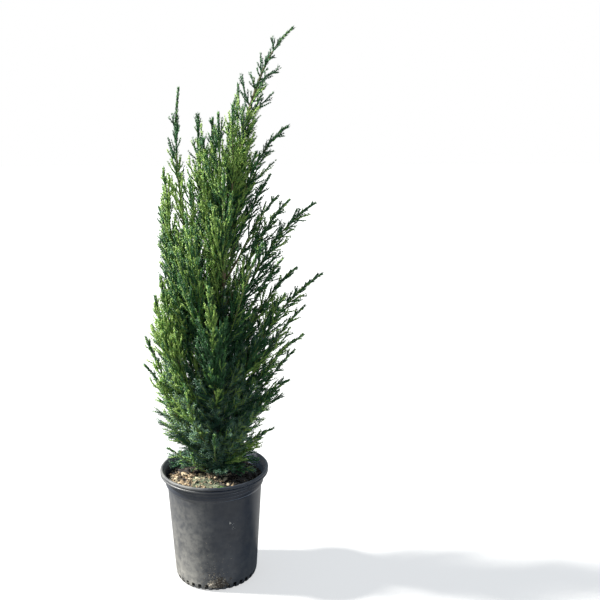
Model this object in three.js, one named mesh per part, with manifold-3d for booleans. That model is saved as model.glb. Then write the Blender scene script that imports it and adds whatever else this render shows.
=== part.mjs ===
// A young upright juniper in its round nursery pot.
// Millimetres, +Z up. The origin is the middle of the pot's flat underside, and -Y faces the viewer.
// The crown is a leader with ascending side shoots set on it. Each shoot carries one plume of foliage: a slim
// core that ends in a point, with whorls of needle sprays that lean out of it.
import * as THREE from "three";
import { mergeVertices } from "three/addons/utils/BufferGeometryUtils.js";
import Module from "manifold-3d";

// The pot: a tapering wall with a collar above a shoulder, a turned-down rim, and drain slots round its foot.
const POT = {
  height: 176,
  rimRadius: 82.5,
  baseRadius: 62.6,
  shoulderRadius: 71.8,
  shoulderHeight: 149,
  shoulderStep: 4,
  collarRadius: 74.6,
  collarTopRadius: 76,
  footHeight: 10,
  footInset: 4.6,
  footBend: [1.5, 2.8],
  wall: 1.6,
  floor: 3,
  lipDepth: 6.5,
  lipThickness: 2.4,
  edgeRound: 1.5,
  sides: 36,
};
const SLOT = { width: 4.6, height: 8, depth: 4, pastWall: 1.8 };

// The potting mix: a flat disc where the trunk stands, and a low mound on the viewer's left.
const SOIL = {
  level: 163,
  edgeDrop: 5,
  discRadius: 14,
  moundHeight: 3.5,
  moundAt: [-34, -22],
  moundSpread: 26,
  ringRadii: [60, 46, 30, 14],
  wallGap: 0.4,
};

// The trunk and the leader shoot that carries it on to the top follow one curve.
const LEADER_PATH = [
  [2, 0, SOIL.level],
  [12, 3, 480],
  [38, -4, 760],
  [123, 0, 819],
];
const TRUNK = {
  share: 0.66,
  footRadius: 8.4,
  radius: 4.9,
  flareHeight: 26,
  flareRings: 3,
  tipRadius: 1.25,
  rings: 12,
  sides: 12,
};

// The crown's reach, as [height, furthest to the left, furthest to the right] of the axis.
const PROFILE = [
  [190, 54, 60],
  [232, 66, 90],
  [300, 86, 117],
  [350, 96, 127],
  [400, 86, 138],
  [474, 70, 140],
  [574, 66, 112],
  [630, 48, 96],
  [650, 16, 92],
  [700, 12, 84],
];
// Its inner shoots stand in a spiral, each a golden angle round from the last and a little higher.
const CROWN = {
  shoots: 29,
  lowestTip: 206,
  highestTip: 690,
  tallestTip: 743,
  crowding: 1.2,
  firstBearing: 70,
  goldenAngle: 137.508,
  reach: 0.95,
  reachSpread: 0.12,
  depthShare: 0.98,
  seed: 100,
};
// Its outer shoots end against the sky at [x, y, z], where they lean out by so many [degrees].
const OUTER_TIPS = [
  [-37, -14, 736, -9],
  [-62, -8, 628, 4],
  [-71, 16, 571, 16],
  [-11, 26, 703, -4],
  [16, -30, 702, 2],
  [9, 24, 697, -6],
  [46, 27, 744, 4],
  [36, -24, 714, -2],
  [114, -12, 686, 56],
  [92, 26, 617, 38],
  [154, -6, 577, 60],
  [120, 30, 579, 50],
  [162, -24, 476, 58],
  [129, 16, 479, 54],
  [142, 22, 419, 50],
  [136, -12, 382, 60],
  [126, 16, 352, 48],
  [114, -16, 314, 60],
  [91, -8, 236, 70],
  [-70, -34, 478, 8],
  [-82, 18, 440, 10],
  [-96, -4, 384, 24],
  [-98, -22, 347, 40],
  [-70, -12, 212, 60],
];
// How a shoot grows, as [one on the left, one on the right]: how far it rises for each millimetre that it
// reaches out, where along that reach it turns up, and how its tip leans in degrees.
const HABIT = { rise: [2.6, 1.15], bow: [0.68, 0.3], lean: [4, 46] };
const SHOOT = {
  leastRise: 10,
  riseWithHeight: 50,
  lowestFoot: 8,
  feetSpread: 150,
  lift: 0.22,
  straightTip: 0.38,
  footRadius: 1.15,
  radiusPerLength: 0.0042,
  tipRadius: 0.5,
  bareShare: 0.06,
  boughFrom: 300,
  boughShare: 0.2,
  boughSides: 5,
  boughRings: 4,
  linePieces: 14,
};
// A shoot of the spiral that comes too near another turns aside by steps, and leaves the trunk lower.
const CROWDING = { apart: 6.2, turnAside: 5, drop: 1.4, mostSteps: 30 };
// Sprays stand round a plume in whorls of three, each whorl turned to point between those of the last.
const WHORL = {
  corners: 6,
  spacing: 15.7,
  reachShare: 0.14,
  shortest: 20,
  longest: 36,
  openness: 26,
  longSpray: [0.8, 1.3],
  between: 0.34,
  waist: 0.2,
  footReach: 0.55,
  fullFrom: 0.2,
  taper: 0.9,
  drift: 8,
  barePoint: 9,
  seed: 700,
  leaderSeed: 99,
};
const CLEAR = 0.3;
const SPACE_MARGIN = 1.9;

const wasm = await Module();
wasm.setup();

const radians = THREE.MathUtils.degToRad;
const mix = THREE.MathUtils.lerp;

// A small seeded generator, so that the plant grows the same way each time.
function seededRandom(seed) {
  let state = (seed * 7919 + 12345) % 2147483647 || 1;
  const draw = () => {
    state = (state * 48271) % 2147483647;
    return state / 2147483647;
  };
  for (let warm = 0; warm < 3; warm++) draw();
  return draw;
}

// The value at x of a line through rows of [x, value, ...], reading the given column.
function interpolate(rows, x, column) {
  if (x <= rows[0][0]) return rows[0][column];
  for (let i = 1; i < rows.length; i++) {
    const [low, high] = [rows[i - 1], rows[i]];
    if (x <= high[0]) return mix(low[column], high[column], (x - low[0]) / (high[0] - low[0]));
  }
  return rows.at(-1)[column];
}

// A closed geometry as a solid that can be cut, and back.
function solidOf(geometry) {
  const bare = new THREE.BufferGeometry().setAttribute("position", geometry.getAttribute("position"));
  const merged = mergeVertices(bare.setIndex(geometry.index), 1e-4);
  return new wasm.Manifold(
    new wasm.Mesh({
      numProp: 3,
      vertProperties: new Float32Array(merged.getAttribute("position").array),
      triVerts: new Uint32Array(merged.index.array),
    }),
  );
}

function geometryOf(solid) {
  const mesh = solid.getMesh();
  return new THREE.BufferGeometry()
    .setAttribute("position", new THREE.BufferAttribute(mesh.vertProperties, 3))
    .setIndex(new THREE.BufferAttribute(mesh.triVerts, 1));
}

// A frame across a line: the way along it, and two axes across, the first as near the hint as can be.
function frameAcross(origin, along, hint) {
  const across = hint.clone().addScaledVector(along, -hint.dot(along)).normalize();
  return { origin, along, across, side: along.clone().cross(across) };
}

// The point so far out from a frame's origin at an angle round it, and so far ahead.
function beside({ origin, along, across, side }, angle, radius, ahead = 0) {
  return origin
    .clone()
    .addScaledVector(across, radius * Math.cos(angle))
    .addScaledVector(side, radius * Math.sin(angle))
    .addScaledVector(along, ahead);
}

// As many corners as asked, each from its angle round the ring and its number.
function ringOf(count, cornerAt) {
  return Array.from({ length: count }, (_, k) => cornerAt((2 * Math.PI * k) / count, k));
}

// A closed surface through rings of as many corners each. Its foot is flat, and so is its end without a point.
function loft(rings, point) {
  const sides = rings[0].length;
  const last = (rings.length - 1) * sides;
  const faces = [];
  for (let low = 0; low < last; low += sides)
    for (let k = 0; k < sides; k++) {
      const [next, high] = [(k + 1) % sides, low + sides];
      faces.push(low + k, low + next, high + next, low + k, high + next, high + k);
    }
  for (let k = 1; k < sides - 1; k++) faces.push(0, k + 1, k);
  if (point) for (let k = 0; k < sides; k++) faces.push(last + k, last + ((k + 1) % sides), last + sides);
  else for (let k = 1; k < sides - 1; k++) faces.push(last, last + k, last + k + 1);
  const points = point ? [...rings.flat(), point] : rings.flat();
  return new THREE.BufferGeometry().setFromPoints(points).setIndex(faces);
}

// A tapering limb through points, whose foot faces back along the given way.
function limb(points, radii, sides, facing) {
  let hint = new THREE.Vector3(1, 0.2, 0.1);
  const rings = points.map((point, i) => {
    const [behind, ahead] = [points[Math.max(i - 1, 0)], points[Math.min(i + 1, points.length - 1)]];
    const frame = frameAcross(point, i === 0 ? facing : ahead.clone().sub(behind).normalize(), hint);
    hint = frame.across;
    return ringOf(sides, (angle) => beside(frame, angle, radii[i]));
  });
  return loft(rings);
}

const material = (color, roughness) => new THREE.MeshStandardMaterial({ color, roughness, metalness: 0 });
const POT_PLASTIC = material(0x33373b, 0.55);
const POTTING_MIX = material(0x6b5138, 0.95);
const BARK = material(0x6a4b35, 0.85);
const NEEDLES = material(0x2f5a2a, 0.6);

const plant = new THREE.Group();
function add(name, geometry, finish) {
  const mesh = new THREE.Mesh(geometry, finish);
  mesh.name = name;
  plant.add(mesh);
}

// The pot

const outerWall = (z) => mix(POT.baseRadius, POT.shoulderRadius, z / POT.shoulderHeight);
const collarFoot = POT.shoulderHeight + POT.shoulderStep;
const lipFoot = POT.height - POT.lipDepth;
const flangeUnder = POT.height - POT.lipThickness - 1;

// The inside of the wall, from the floor to the rim, as [height, radius].
const innerWall = [
  [POT.floor, outerWall(POT.floor) - POT.wall],
  [POT.shoulderHeight, POT.shoulderRadius - POT.wall],
  [collarFoot, POT.collarRadius - POT.wall],
  [POT.height - POT.lipThickness, POT.collarTopRadius - POT.wall],
];

function potGeometry() {
  const outline = [
    [0, 0],
    [outerWall(0) - POT.footInset, 0],
    [outerWall(0) - POT.footBend[0], POT.footBend[1]],
    [outerWall(POT.footHeight), POT.footHeight],
    [POT.shoulderRadius, POT.shoulderHeight],
    [POT.collarRadius, collarFoot],
    [POT.collarTopRadius, flangeUnder],
    [POT.rimRadius - POT.lipThickness, flangeUnder],
    [POT.rimRadius - POT.lipThickness, lipFoot],
    [POT.rimRadius, lipFoot],
    [POT.rimRadius, POT.height - 1],
    [POT.rimRadius - POT.edgeRound, POT.height],
    [POT.collarTopRadius + 0.6, POT.height],
    ...innerWall.toReversed().map(([z, radius]) => [radius, z]),
    [0, POT.floor],
  ].map(([radius, z]) => new THREE.Vector2(radius, z));
  const turned = new THREE.LatheGeometry(outline, POT.sides).rotateX(Math.PI / 2);
  let pot = solidOf(turned);
  const slotMiddle = outerWall(0) - POT.wall - SLOT.pastWall + SLOT.depth;
  for (let k = 0; k < POT.sides; k++) {
    const slot = new THREE.BoxGeometry(2 * SLOT.depth, SLOT.width, 2 * SLOT.height)
      .translate(slotMiddle, 0, 0)
      .rotateZ((2 * Math.PI * (k + 0.5)) / POT.sides);
    pot = pot.subtract(solidOf(slot));
  }
  return geometryOf(pot);
}

// The potting mix

function soilHeight(x, y) {
  const fromAxis = Math.hypot(x, y);
  const edge = Math.max(0, (fromAxis - SOIL.discRadius) / (POT.collarRadius - SOIL.discRadius));
  const fromMound = Math.hypot(x - SOIL.moundAt[0], y - SOIL.moundAt[1]) / SOIL.moundSpread;
  const mound = fromAxis <= SOIL.discRadius + 0.01 ? 0 : SOIL.moundHeight * Math.exp(-fromMound * fromMound);
  return SOIL.level + mound - SOIL.edgeDrop * edge * edge;
}

function soilGeometry() {
  const ring = (radiusAt, heightAt) =>
    ringOf(POT.sides, (angle) => {
      const [x, y] = [Math.cos(angle), Math.sin(angle)];
      const height = heightAt(x, y);
      return new THREE.Vector3(x * radiusAt(height), y * radiusAt(height), height);
    });
  const surface = (radius) => (x, y) => soilHeight(radius * x, radius * y);
  const wall = (height) => interpolate(innerWall, height, 1) - SOIL.wallGap;
  return loft(
    [
      ...[POT.floor + CLEAR, POT.shoulderHeight, collarFoot].map((height) => ring(wall, () => height)),
      ring(wall, surface(POT.collarRadius - POT.wall)),
      ...SOIL.ringRadii.map((radius) => ring(() => radius, surface(radius))),
    ],
    new THREE.Vector3(0, 0, SOIL.level),
  );
}

// The trunk

const UP = new THREE.Vector3(0, 0, 1);
const leaderCurve = new THREE.CubicBezierCurve3(...LEADER_PATH.map((point) => new THREE.Vector3(...point)));
const trunkTop = leaderCurve.getPoint(TRUNK.share);
const trunkLine = leaderCurve.getPoints(60).filter((point) => point.z <= trunkTop.z);

// The leader curve's parameter at a height, by halving.
function leaderAt(height) {
  let [low, high] = [0, 1];
  for (let i = 0; i < 40; i++) {
    const middle = (low + high) / 2;
    if (leaderCurve.getPoint(middle).z < height) low = middle;
    else high = middle;
  }
  return low;
}

function trunkRadius(height) {
  const above = height - SOIL.level;
  const flare = (TRUNK.footRadius - TRUNK.radius) * Math.max(0, 1 - above / TRUNK.flareHeight) ** 2;
  return flare + mix(TRUNK.radius, TRUNK.tipRadius, above / (trunkTop.z - SOIL.level));
}

function trunkGeometry() {
  const shares = [];
  for (let i = 0; i < TRUNK.flareRings; i++)
    shares.push(leaderAt(SOIL.level + (TRUNK.flareHeight * i) / TRUNK.flareRings));
  const flareTop = leaderAt(SOIL.level + TRUNK.flareHeight);
  for (let i = 0; i < TRUNK.rings; i++) shares.push(mix(flareTop, TRUNK.share, i / (TRUNK.rings - 1)));
  const points = shares.map((share) => leaderCurve.getPoint(share));
  points[0].z += CLEAR;
  return limb(points, points.map((point) => trunkRadius(point.z)), TRUNK.sides, UP);
}

function distanceToLine(point, line) {
  const segment = new THREE.Line3();
  const nearest = new THREE.Vector3();
  let least = Infinity;
  for (let i = 1; i < line.length; i++) {
    segment.set(line[i - 1], line[i]).closestPointToPoint(point, true, nearest);
    least = Math.min(least, nearest.distanceToSquared(point));
  }
  return Math.sqrt(least);
}

// True if a stem of this radius stands off the trunk everywhere past its foot.
function clearOfTrunk(curve, radius) {
  for (let share = SHOOT.bareShare; share <= 0.5; share += 0.02) {
    const point = curve.getPointAt(share);
    if (distanceToLine(point, trunkLine) < trunkRadius(point.z) + CLEAR + radius) return false;
  }
  return true;
}

// The shoots

// The tip of shoot i of the spiral, turned aside by some degrees.
function spiralTip(i, turn) {
  const random = seededRandom(CROWN.seed + i);
  const height = mix(CROWN.lowestTip, CROWN.highestTip, (i / (CROWN.shoots - 1)) ** CROWN.crowding);
  const bearing = radians(CROWN.firstBearing + CROWN.goldenAngle * i + turn);
  const [left, right] = [interpolate(PROFILE, height, 1), interpolate(PROFILE, height, 2)];
  const [middle, half] = [(right - left) / 2, (right + left) / 2];
  const reach = CROWN.reach - CROWN.reachSpread * random();
  return [
    middle + half * Math.cos(bearing) * reach,
    half * CROWN.depthShare * Math.sin(bearing) * reach,
    height,
  ];
}

// A shoot along a curve, with the line that tells whose space a point is in.
function shootAlong(curve, foot) {
  return { curve, length: curve.getLength(), line: curve.getSpacedPoints(SHOOT.linePieces), ...foot };
}

// A shoot from the trunk to its tip, with its foot lowered by a drop.
function growShoot([x, y, z, leanOut], i, drop = 0) {
  const tip = new THREE.Vector3(x, y, z);
  const share = (z - CROWN.lowestTip) / (CROWN.tallestTip - CROWN.lowestTip);
  const abreast = leaderCurve.getPoint(leaderAt(z));
  const aside = Math.hypot(x - abreast.x, y - abreast.y);
  const rightward = (1 + (x - abreast.x) / aside) / 2;
  const habit = ([left, right]) => mix(left, right, rightward);
  const rise = aside * habit(HABIT.rise) + SHOOT.riseWithHeight * share + SHOOT.leastRise;
  const lowest = SOIL.level + SHOOT.lowestFoot + SHOOT.feetSpread * share;
  const leave = Math.min(Math.max(lowest, z - rise), z - SHOOT.leastRise - 2) - drop;
  const root = leaderCurve.getPoint(leaderAt(leave));
  const outward = new THREE.Vector3(x - root.x, y - root.y, 0);
  const side = outward.length();
  outward.normalize();
  const lean = radians(leanOut ?? habit(HABIT.lean));
  const tipward = outward.clone().multiplyScalar(Math.sin(lean)).addScaledVector(UP, Math.cos(lean));
  const length = tip.distanceTo(root);
  const radius = SHOOT.footRadius + SHOOT.radiusPerLength * length;
  const facing = frameAcross(root, leaderCurve.getTangent(leaderAt(leave)), outward).across;
  const seat = root.clone().addScaledVector(facing, trunkRadius(leave) + CLEAR);
  const bow = side * habit(HABIT.bow);
  const turnUp = root.clone().addScaledVector(outward, bow).addScaledVector(UP, (z - leave) * SHOOT.lift);
  const straight = tip.clone().addScaledVector(tipward, -SHOOT.straightTip * length);
  const curve = new THREE.CubicBezierCurve3(seat, turnUp, straight, tip);
  while (!clearOfTrunk(curve, radius)) {
    turnUp.add(outward);
    curve.updateArcLengths();
  }
  const name = String(i + 1).padStart(2, "0");
  return shootAlong(curve, { facing, radius, name, seed: i, bough: length > SHOOT.boughFrom });
}

function leaderShoot() {
  const points = [0, 1, 2, 3].map((i) => leaderCurve.getPoint(mix(TRUNK.share, 1, i / 3)));
  points[0].addScaledVector(leaderCurve.getTangent(TRUNK.share), CLEAR);
  const curve = new THREE.CatmullRomCurve3(points);
  const [facing, radius] = [curve.getTangentAt(0), TRUNK.tipRadius];
  return shootAlong(curve, { facing, radius, name: "leader", seed: WHORL.leaderSeed, bough: false });
}

const shoots = [leaderShoot(), ...OUTER_TIPS.map((tip, i) => growShoot(tip, i))];

const crowded = (shoot) =>
  shoots.some((other) => shoot.line.some((point) => distanceToLine(point, other.line) < CROWDING.apart));

for (let i = 0; i < CROWN.shoots; i++) {
  const grown = (step) =>
    growShoot(spiralTip(i, step * CROWDING.turnAside), OUTER_TIPS.length + i, step * CROWDING.drop);
  let step = 0;
  while (crowded(grown(step)) && step < CROWDING.mostSteps) step += 1;
  shoots.push(grown(step));
}

function boughGeometry(shoot) {
  const shareAt = (_, i) => (SHOOT.boughShare * i) / (SHOOT.boughRings - 1);
  const shares = Array.from({ length: SHOOT.boughRings }, shareAt);
  return limb(
    shares.map((share) => shoot.curve.getPointAt(share)),
    shares.map((share) => mix(shoot.radius, SHOOT.tipRadius, share)),
    SHOOT.boughSides,
    shoot.facing,
  );
}

// The foliage

// True if the point is nearer its own shoot than any other, off the trunk, and above the mix and the rim.
function inOwnSpace(point, own) {
  const overRim = Math.hypot(point.x, point.y) > POT.collarRadius - 4;
  const ground = overRim ? POT.height : SOIL.level + SOIL.moundHeight;
  if (point.z < ground + SPACE_MARGIN) return false;
  if (distanceToLine(point, trunkLine) < trunkRadius(point.z) + SPACE_MARGIN) return false;
  const mine = distanceToLine(point, own.line);
  return shoots.every((other) => other === own || distanceToLine(point, other.line) - mine > SPACE_MARGIN);
}

// How far sprays stand out, as a share of the furthest, at share u of the leafy part of a shoot.
const plumeOutline = (u) => mix(WHORL.footReach, 1, Math.min(1, u / WHORL.fullFrom)) * (1 - WHORL.taper * u);

const crossFrame = ({ curve }, share) =>
  frameAcross(curve.getPointAt(share), curve.getTangentAt(share), new THREE.Vector3(1, 0.3, 0));

// The frame at a shoot's foot, turned to lie flat on the trunk.
function footFrame(shoot) {
  const frame = crossFrame(shoot, 0);
  const turn = new THREE.Quaternion().setFromUnitVectors(frame.along, shoot.facing);
  for (const axis of [frame.along, frame.across, frame.side]) axis.applyQuaternion(turn);
  return frame;
}

// One closed plume: a slim core, and whorls of sprays that lean out of it towards the tip. A spray is shortened
// until it keeps to its shoot's space.
function foliageGeometry(shoot) {
  const random = seededRandom(WHORL.seed + shoot.seed);
  const from = shoot.bough ? SHOOT.boughShare + CLEAR / shoot.length : 0;
  const first = Math.max(from + 0.02, SHOOT.bareShare);
  const furthest = THREE.MathUtils.clamp(WHORL.reachShare * shoot.length, WHORL.shortest, WHORL.longest);
  const lead = 1 / Math.tan(radians(WHORL.openness));
  const stemRadius = (share) => mix(shoot.radius, SHOOT.tipRadius, share);
  const foot = shoot.bough ? crossFrame(shoot, from) : footFrame(shoot);
  let spin = radians(360 * random());
  const rings = [ringOf(WHORL.corners, (angle) => beside(foot, spin + angle, stemRadius(from)))];
  let odd = 0;
  for (let share = first; share < 1 - WHORL.barePoint / shoot.length; share += WHORL.spacing / shoot.length) {
    const reach = furthest * plumeOutline((share - first) / (1 - first));
    const stem = stemRadius(share);
    const frame = crossFrame(shoot, share);
    const cornerAt = (angle, radius, ahead) => beside(frame, spin + angle, radius, radius * ahead);
    const fitting = (angle, wanted, ahead) => {
      let radius = wanted;
      while (radius > stem && !inOwnSpace(cornerAt(angle, radius, ahead), shoot)) radius *= 0.85;
      return cornerAt(angle, Math.max(radius, stem), ahead);
    };
    const longOrShort = (k) => (k % 2 === odd ? mix(...WHORL.longSpray, random()) : WHORL.between);
    rings.push(ringOf(WHORL.corners, (angle) => fitting(angle, WHORL.waist * reach, 0)));
    rings.push(ringOf(WHORL.corners, (angle, k) => fitting(angle, reach * longOrShort(k), lead)));
    odd = 1 - odd;
    spin += radians(WHORL.drift);
  }
  return loft(rings, shoot.curve.getPointAt(1));
}

add("pot", potGeometry(), POT_PLASTIC);
add("soil", soilGeometry(), POTTING_MIX);
add("trunk", trunkGeometry(), BARK);
for (const shoot of shoots) {
  if (shoot.bough) add(`bough_${shoot.name}`, boughGeometry(shoot), BARK);
  add(`foliage_${shoot.name}`, foliageGeometry(shoot), NEEDLES);
}

export default plant;
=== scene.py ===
"""The looks of a young upright juniper in its round nursery pot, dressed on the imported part.

The crown grows by the rule that shaped its solids: a leader, outer shoots that end against the sky, and a
spiral of inner ones. Here each shoot carries whorls of fine sprays, and these carry twigs and needles.
Growth is worked out in millimetres, and meshes are made in metres.
"""

import logging
import math
from dataclasses import dataclass, field
from enum import Enum

import bmesh
import bpy
import numpy as np
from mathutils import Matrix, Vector, noise


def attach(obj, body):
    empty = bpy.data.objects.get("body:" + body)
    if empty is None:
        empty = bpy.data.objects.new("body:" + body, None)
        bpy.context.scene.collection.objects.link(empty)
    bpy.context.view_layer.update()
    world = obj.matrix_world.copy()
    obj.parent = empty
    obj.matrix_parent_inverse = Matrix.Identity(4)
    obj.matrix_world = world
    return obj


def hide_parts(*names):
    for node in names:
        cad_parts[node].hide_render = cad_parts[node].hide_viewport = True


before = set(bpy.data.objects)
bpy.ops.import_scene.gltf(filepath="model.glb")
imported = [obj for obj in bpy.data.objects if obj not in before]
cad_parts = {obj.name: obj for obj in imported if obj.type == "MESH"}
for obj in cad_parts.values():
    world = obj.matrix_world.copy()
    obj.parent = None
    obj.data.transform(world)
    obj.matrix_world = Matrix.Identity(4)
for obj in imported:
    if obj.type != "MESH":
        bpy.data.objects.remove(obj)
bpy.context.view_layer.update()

LOG = logging.getLogger("juniper")
MM = 0.001
# The sizes that the pot, its filling and the crown share, in millimetres.
SOIL_LEVEL = 163.0
MOUND_HEIGHT = 3.5
COLLAR_RADIUS = 74.6
POT_HEIGHT = 176.0
UP = np.array([0.0, 0.0, 1.0])

Colour = tuple[float, float, float]
Span = tuple[float, float]
Socket = bpy.types.NodeSocket
Sockets = bpy.types.bpy_prop_collection


def unit(vectors: np.ndarray) -> np.ndarray:
    """Scale vectors to length one along their last axis."""
    return vectors / np.linalg.norm(vectors, axis=-1, keepdims=True)


def mix(low: float, high: float, share: float) -> float:
    """Go from low to high by a share."""
    return low + (high - low) * share


def deselect_all() -> None:
    """Leave object mode's selection empty."""
    bpy.ops.object.select_all(action="DESELECT")


def make_active(piece: bpy.types.Object) -> None:
    """Select one object alone and make it active.

    Args:
        piece: The object.
    """
    deselect_all()
    piece.select_set(True)
    bpy.context.view_layer.objects.active = piece


def added(name: str, data: bpy.types.ID) -> bpy.types.Object:
    """Put a new object that shows this data into the scene.

    Args:
        name: The object's name.
        data: Its mesh, curve, light or camera.

    Returns:
        The new object, at the origin.
    """
    piece = bpy.data.objects.new(name, data)
    bpy.context.scene.collection.objects.link(piece)
    return piece


def mesh_piece(name: str, corners: np.ndarray, triangles: np.ndarray) -> bpy.types.Object:
    """Make an object from arrays.

    Args:
        name: The piece's name.
        corners: Corner positions in millimetres, one row each.
        triangles: Three corner numbers a row.

    Returns:
        The new object, at the origin.
    """
    mesh = bpy.data.meshes.new(name)
    mesh.vertices.add(len(corners))
    mesh.vertices.foreach_set("co", (corners * MM).astype(np.float32).ravel())
    mesh.loops.add(triangles.size)
    mesh.loops.foreach_set("vertex_index", triangles.astype(np.int32).ravel())
    mesh.polygons.add(len(triangles))
    mesh.polygons.foreach_set("loop_start", np.arange(0, triangles.size, 3, dtype=np.int32))
    mesh.update(calc_edges=True)
    return added(name, mesh)


def join_meshes(parts: list[tuple[np.ndarray, np.ndarray]]) -> tuple[np.ndarray, np.ndarray]:
    """Join meshes into one pair of arrays.

    Args:
        parts: Corners and triangles of each.

    Returns:
        All corners, and all triangles.
    """
    corners = np.concatenate([part[0] for part in parts])
    starts = np.cumsum([0] + [len(part[0]) for part in parts[:-1]])
    triangles = np.concatenate([part[1] + start for part, start in zip(parts, starts)])
    return corners, triangles


def cleaned(piece: bpy.types.Object, nearness: float, spin_steps: int = 0) -> None:
    """Merge doubled corners and turn the faces outwards, after a spin round the upright axis if asked.

    Args:
        piece: The object, which becomes the active one.
        nearness: How near corners that merge are, in metres.
        spin_steps: How many steps the spin has, or 0 for none.
    """
    make_active(piece)
    bpy.ops.object.mode_set(mode="EDIT")
    bpy.ops.mesh.select_all(action="SELECT")
    if spin_steps:
        bpy.ops.mesh.spin(steps=spin_steps, angle=2 * math.pi, center=(0, 0, 0), axis=(0, 0, 1))
        bpy.ops.mesh.select_all(action="SELECT")
    bpy.ops.mesh.remove_doubles(threshold=nearness)
    bpy.ops.mesh.normals_make_consistent(inside=False)
    bpy.ops.object.mode_set(mode="OBJECT")


def spun(name: str, outline: list[Span], steps: int) -> bpy.types.Object:
    """Spin an outline into a closed body.

    Args:
        name: The piece's name.
        outline: Its points, as radii and heights in millimetres.
        steps: How many faces it has round.

    Returns:
        The body, about the upright axis.
    """
    mesh = bpy.data.meshes.new(name)
    edges = [(i, i + 1) for i in range(len(outline) - 1)]
    mesh.from_pydata([(radius * MM, 0, height * MM) for radius, height in outline], edges, [])
    body = added(name, mesh)
    cleaned(body, 0.02 * MM, steps)
    return body


BLOCK = np.array([(a, b, c) for c in (-1, 1) for b in (-1, 1) for a in (-1, 1)], float) / 2


def lump_piece(name: str, lumps: np.ndarray) -> bpy.types.Object:
    """Make one piece of many eight-cornered lumps.

    Args:
        name: The piece's name.
        lumps: Corners in millimetres, as lumps by eight by three.

    Returns:
        The new object, at the origin.
    """
    quads = [(0, 2, 3, 1), (4, 5, 7, 6), (0, 1, 5, 4), (2, 6, 7, 3), (0, 4, 6, 2), (1, 3, 7, 5)]
    faces = np.array([(a, b, c) for a, b, c, _ in quads] + [(a, c, d) for a, _, c, d in quads])
    triangles = faces[None] + (np.arange(len(lumps)) * 8)[:, None, None]
    return mesh_piece(name, lumps.reshape(-1, 3), triangles.reshape(-1, 3))


def turned_by(x: np.ndarray, y: np.ndarray, turn: np.ndarray) -> np.ndarray:
    """Turn points round the upright axis, each row by its own angle in radians."""
    c, s = np.cos(turn)[:, None], np.sin(turn)[:, None]
    return np.stack([x * c - y * s, x * s + y * c], -1)


class Slot(Enum):
    """The record's material slots."""

    POT = "pot_plastic"
    MIX = "potting_mix"
    BARK = "bark"
    NEEDLES = "needles"


def dress(piece: bpy.types.Object, material: bpy.types.Material, slot: Slot, *nodes: str) -> None:
    """Give a piece its finish and its place on the frame, and report it.

    Args:
        piece: The finished piece.
        material: Its only material.
        slot: The record's slot that the finish stands for; not used.
        *nodes: The CAD nodes that it replaces.
    """
    piece.data.materials.clear()
    piece.data.materials.append(material)
    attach(piece, "root")
    if nodes:
        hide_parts(*nodes)
    LOG.info("%s: %d faces, replaces %d nodes", piece.name, len(piece.data.polygons), len(nodes))


@dataclass
class Nodes:
    """A shader's node tree, built up a node at a time."""

    tree: bpy.types.ShaderNodeTree

    def feed(self, node: bpy.types.Node, inputs: dict) -> bpy.types.Node:
        """Give each named input a plain value, or a link from another node's socket.

        Args:
            node: The node.
            inputs: What each of its inputs is given.

        Returns:
            The same node.
        """
        for name, given in inputs.items():
            if isinstance(given, Socket):
                self.tree.links.new(given, node.inputs[name])
            else:
                node.inputs[name].default_value = given
        return node

    def add(self, kind: str, inputs: dict, **settings: object) -> Sockets:
        """Add a node.

        Args:
            kind: Its type, without the words ShaderNode.
            inputs: A value or a socket for each input that isn't left alone.
            **settings: Its own properties.

        Returns:
            Its outputs.
        """
        node = self.tree.nodes.new(f"ShaderNode{kind}")
        for name, value in settings.items():
            setattr(node, name, value)
        return self.feed(node, inputs).outputs

    def ranged(
        self, value: Socket, taken: tuple = (0, 1), given: tuple = (0, 1), **settings: object
    ) -> Socket:
        """Carry a value from one range to another, clamped."""
        ends = {"From Min": taken[0], "From Max": taken[1], "To Min": given[0], "To Max": given[1]}
        return self.add("MapRange", {"Value": value} | ends, **settings)["Result"]

    def blend(self, share: Socket, low: object, high: object) -> Socket:
        """Mix two colours by a share."""
        return self.add("Mix", {"Factor": share, "A": low, "B": high}, data_type="RGBA")["Result"]

    def product(self, first: Socket, second: Socket) -> Socket:
        """Multiply two values."""
        return self.add("Math", {0: first, 1: second}, operation="MULTIPLY")["Value"]


class ShaderGroup:
    """A shader group that is made once, and shared by the materials."""

    NAME: str
    TAKES: dict[str, str]
    GIVES: dict[str, str]

    @classmethod
    def group(cls) -> bpy.types.ShaderNodeTree:
        """Return the group.

        Returns:
            The group, with its nodes and sockets.
        """
        tree = bpy.data.node_groups.get(cls.NAME)
        if tree is None:
            tree = bpy.data.node_groups.new(cls.NAME, "ShaderNodeTree")
            for way, sockets in (("INPUT", cls.TAKES), ("OUTPUT", cls.GIVES)):
                for name, kind in sockets.items():
                    tree.interface.new_socket(name, in_out=way, socket_type=f"NodeSocket{kind}")
            taken = tree.nodes.new("NodeGroupInput").outputs
            nodes = Nodes(tree)
            nodes.feed(tree.nodes.new("NodeGroupOutput"), cls.filled(nodes, taken))
        return tree

    @staticmethod
    def filled(nodes: Nodes, taken: Sockets) -> dict:
        """Add the nodes, and return a socket for each output."""
        raise NotImplementedError


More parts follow.
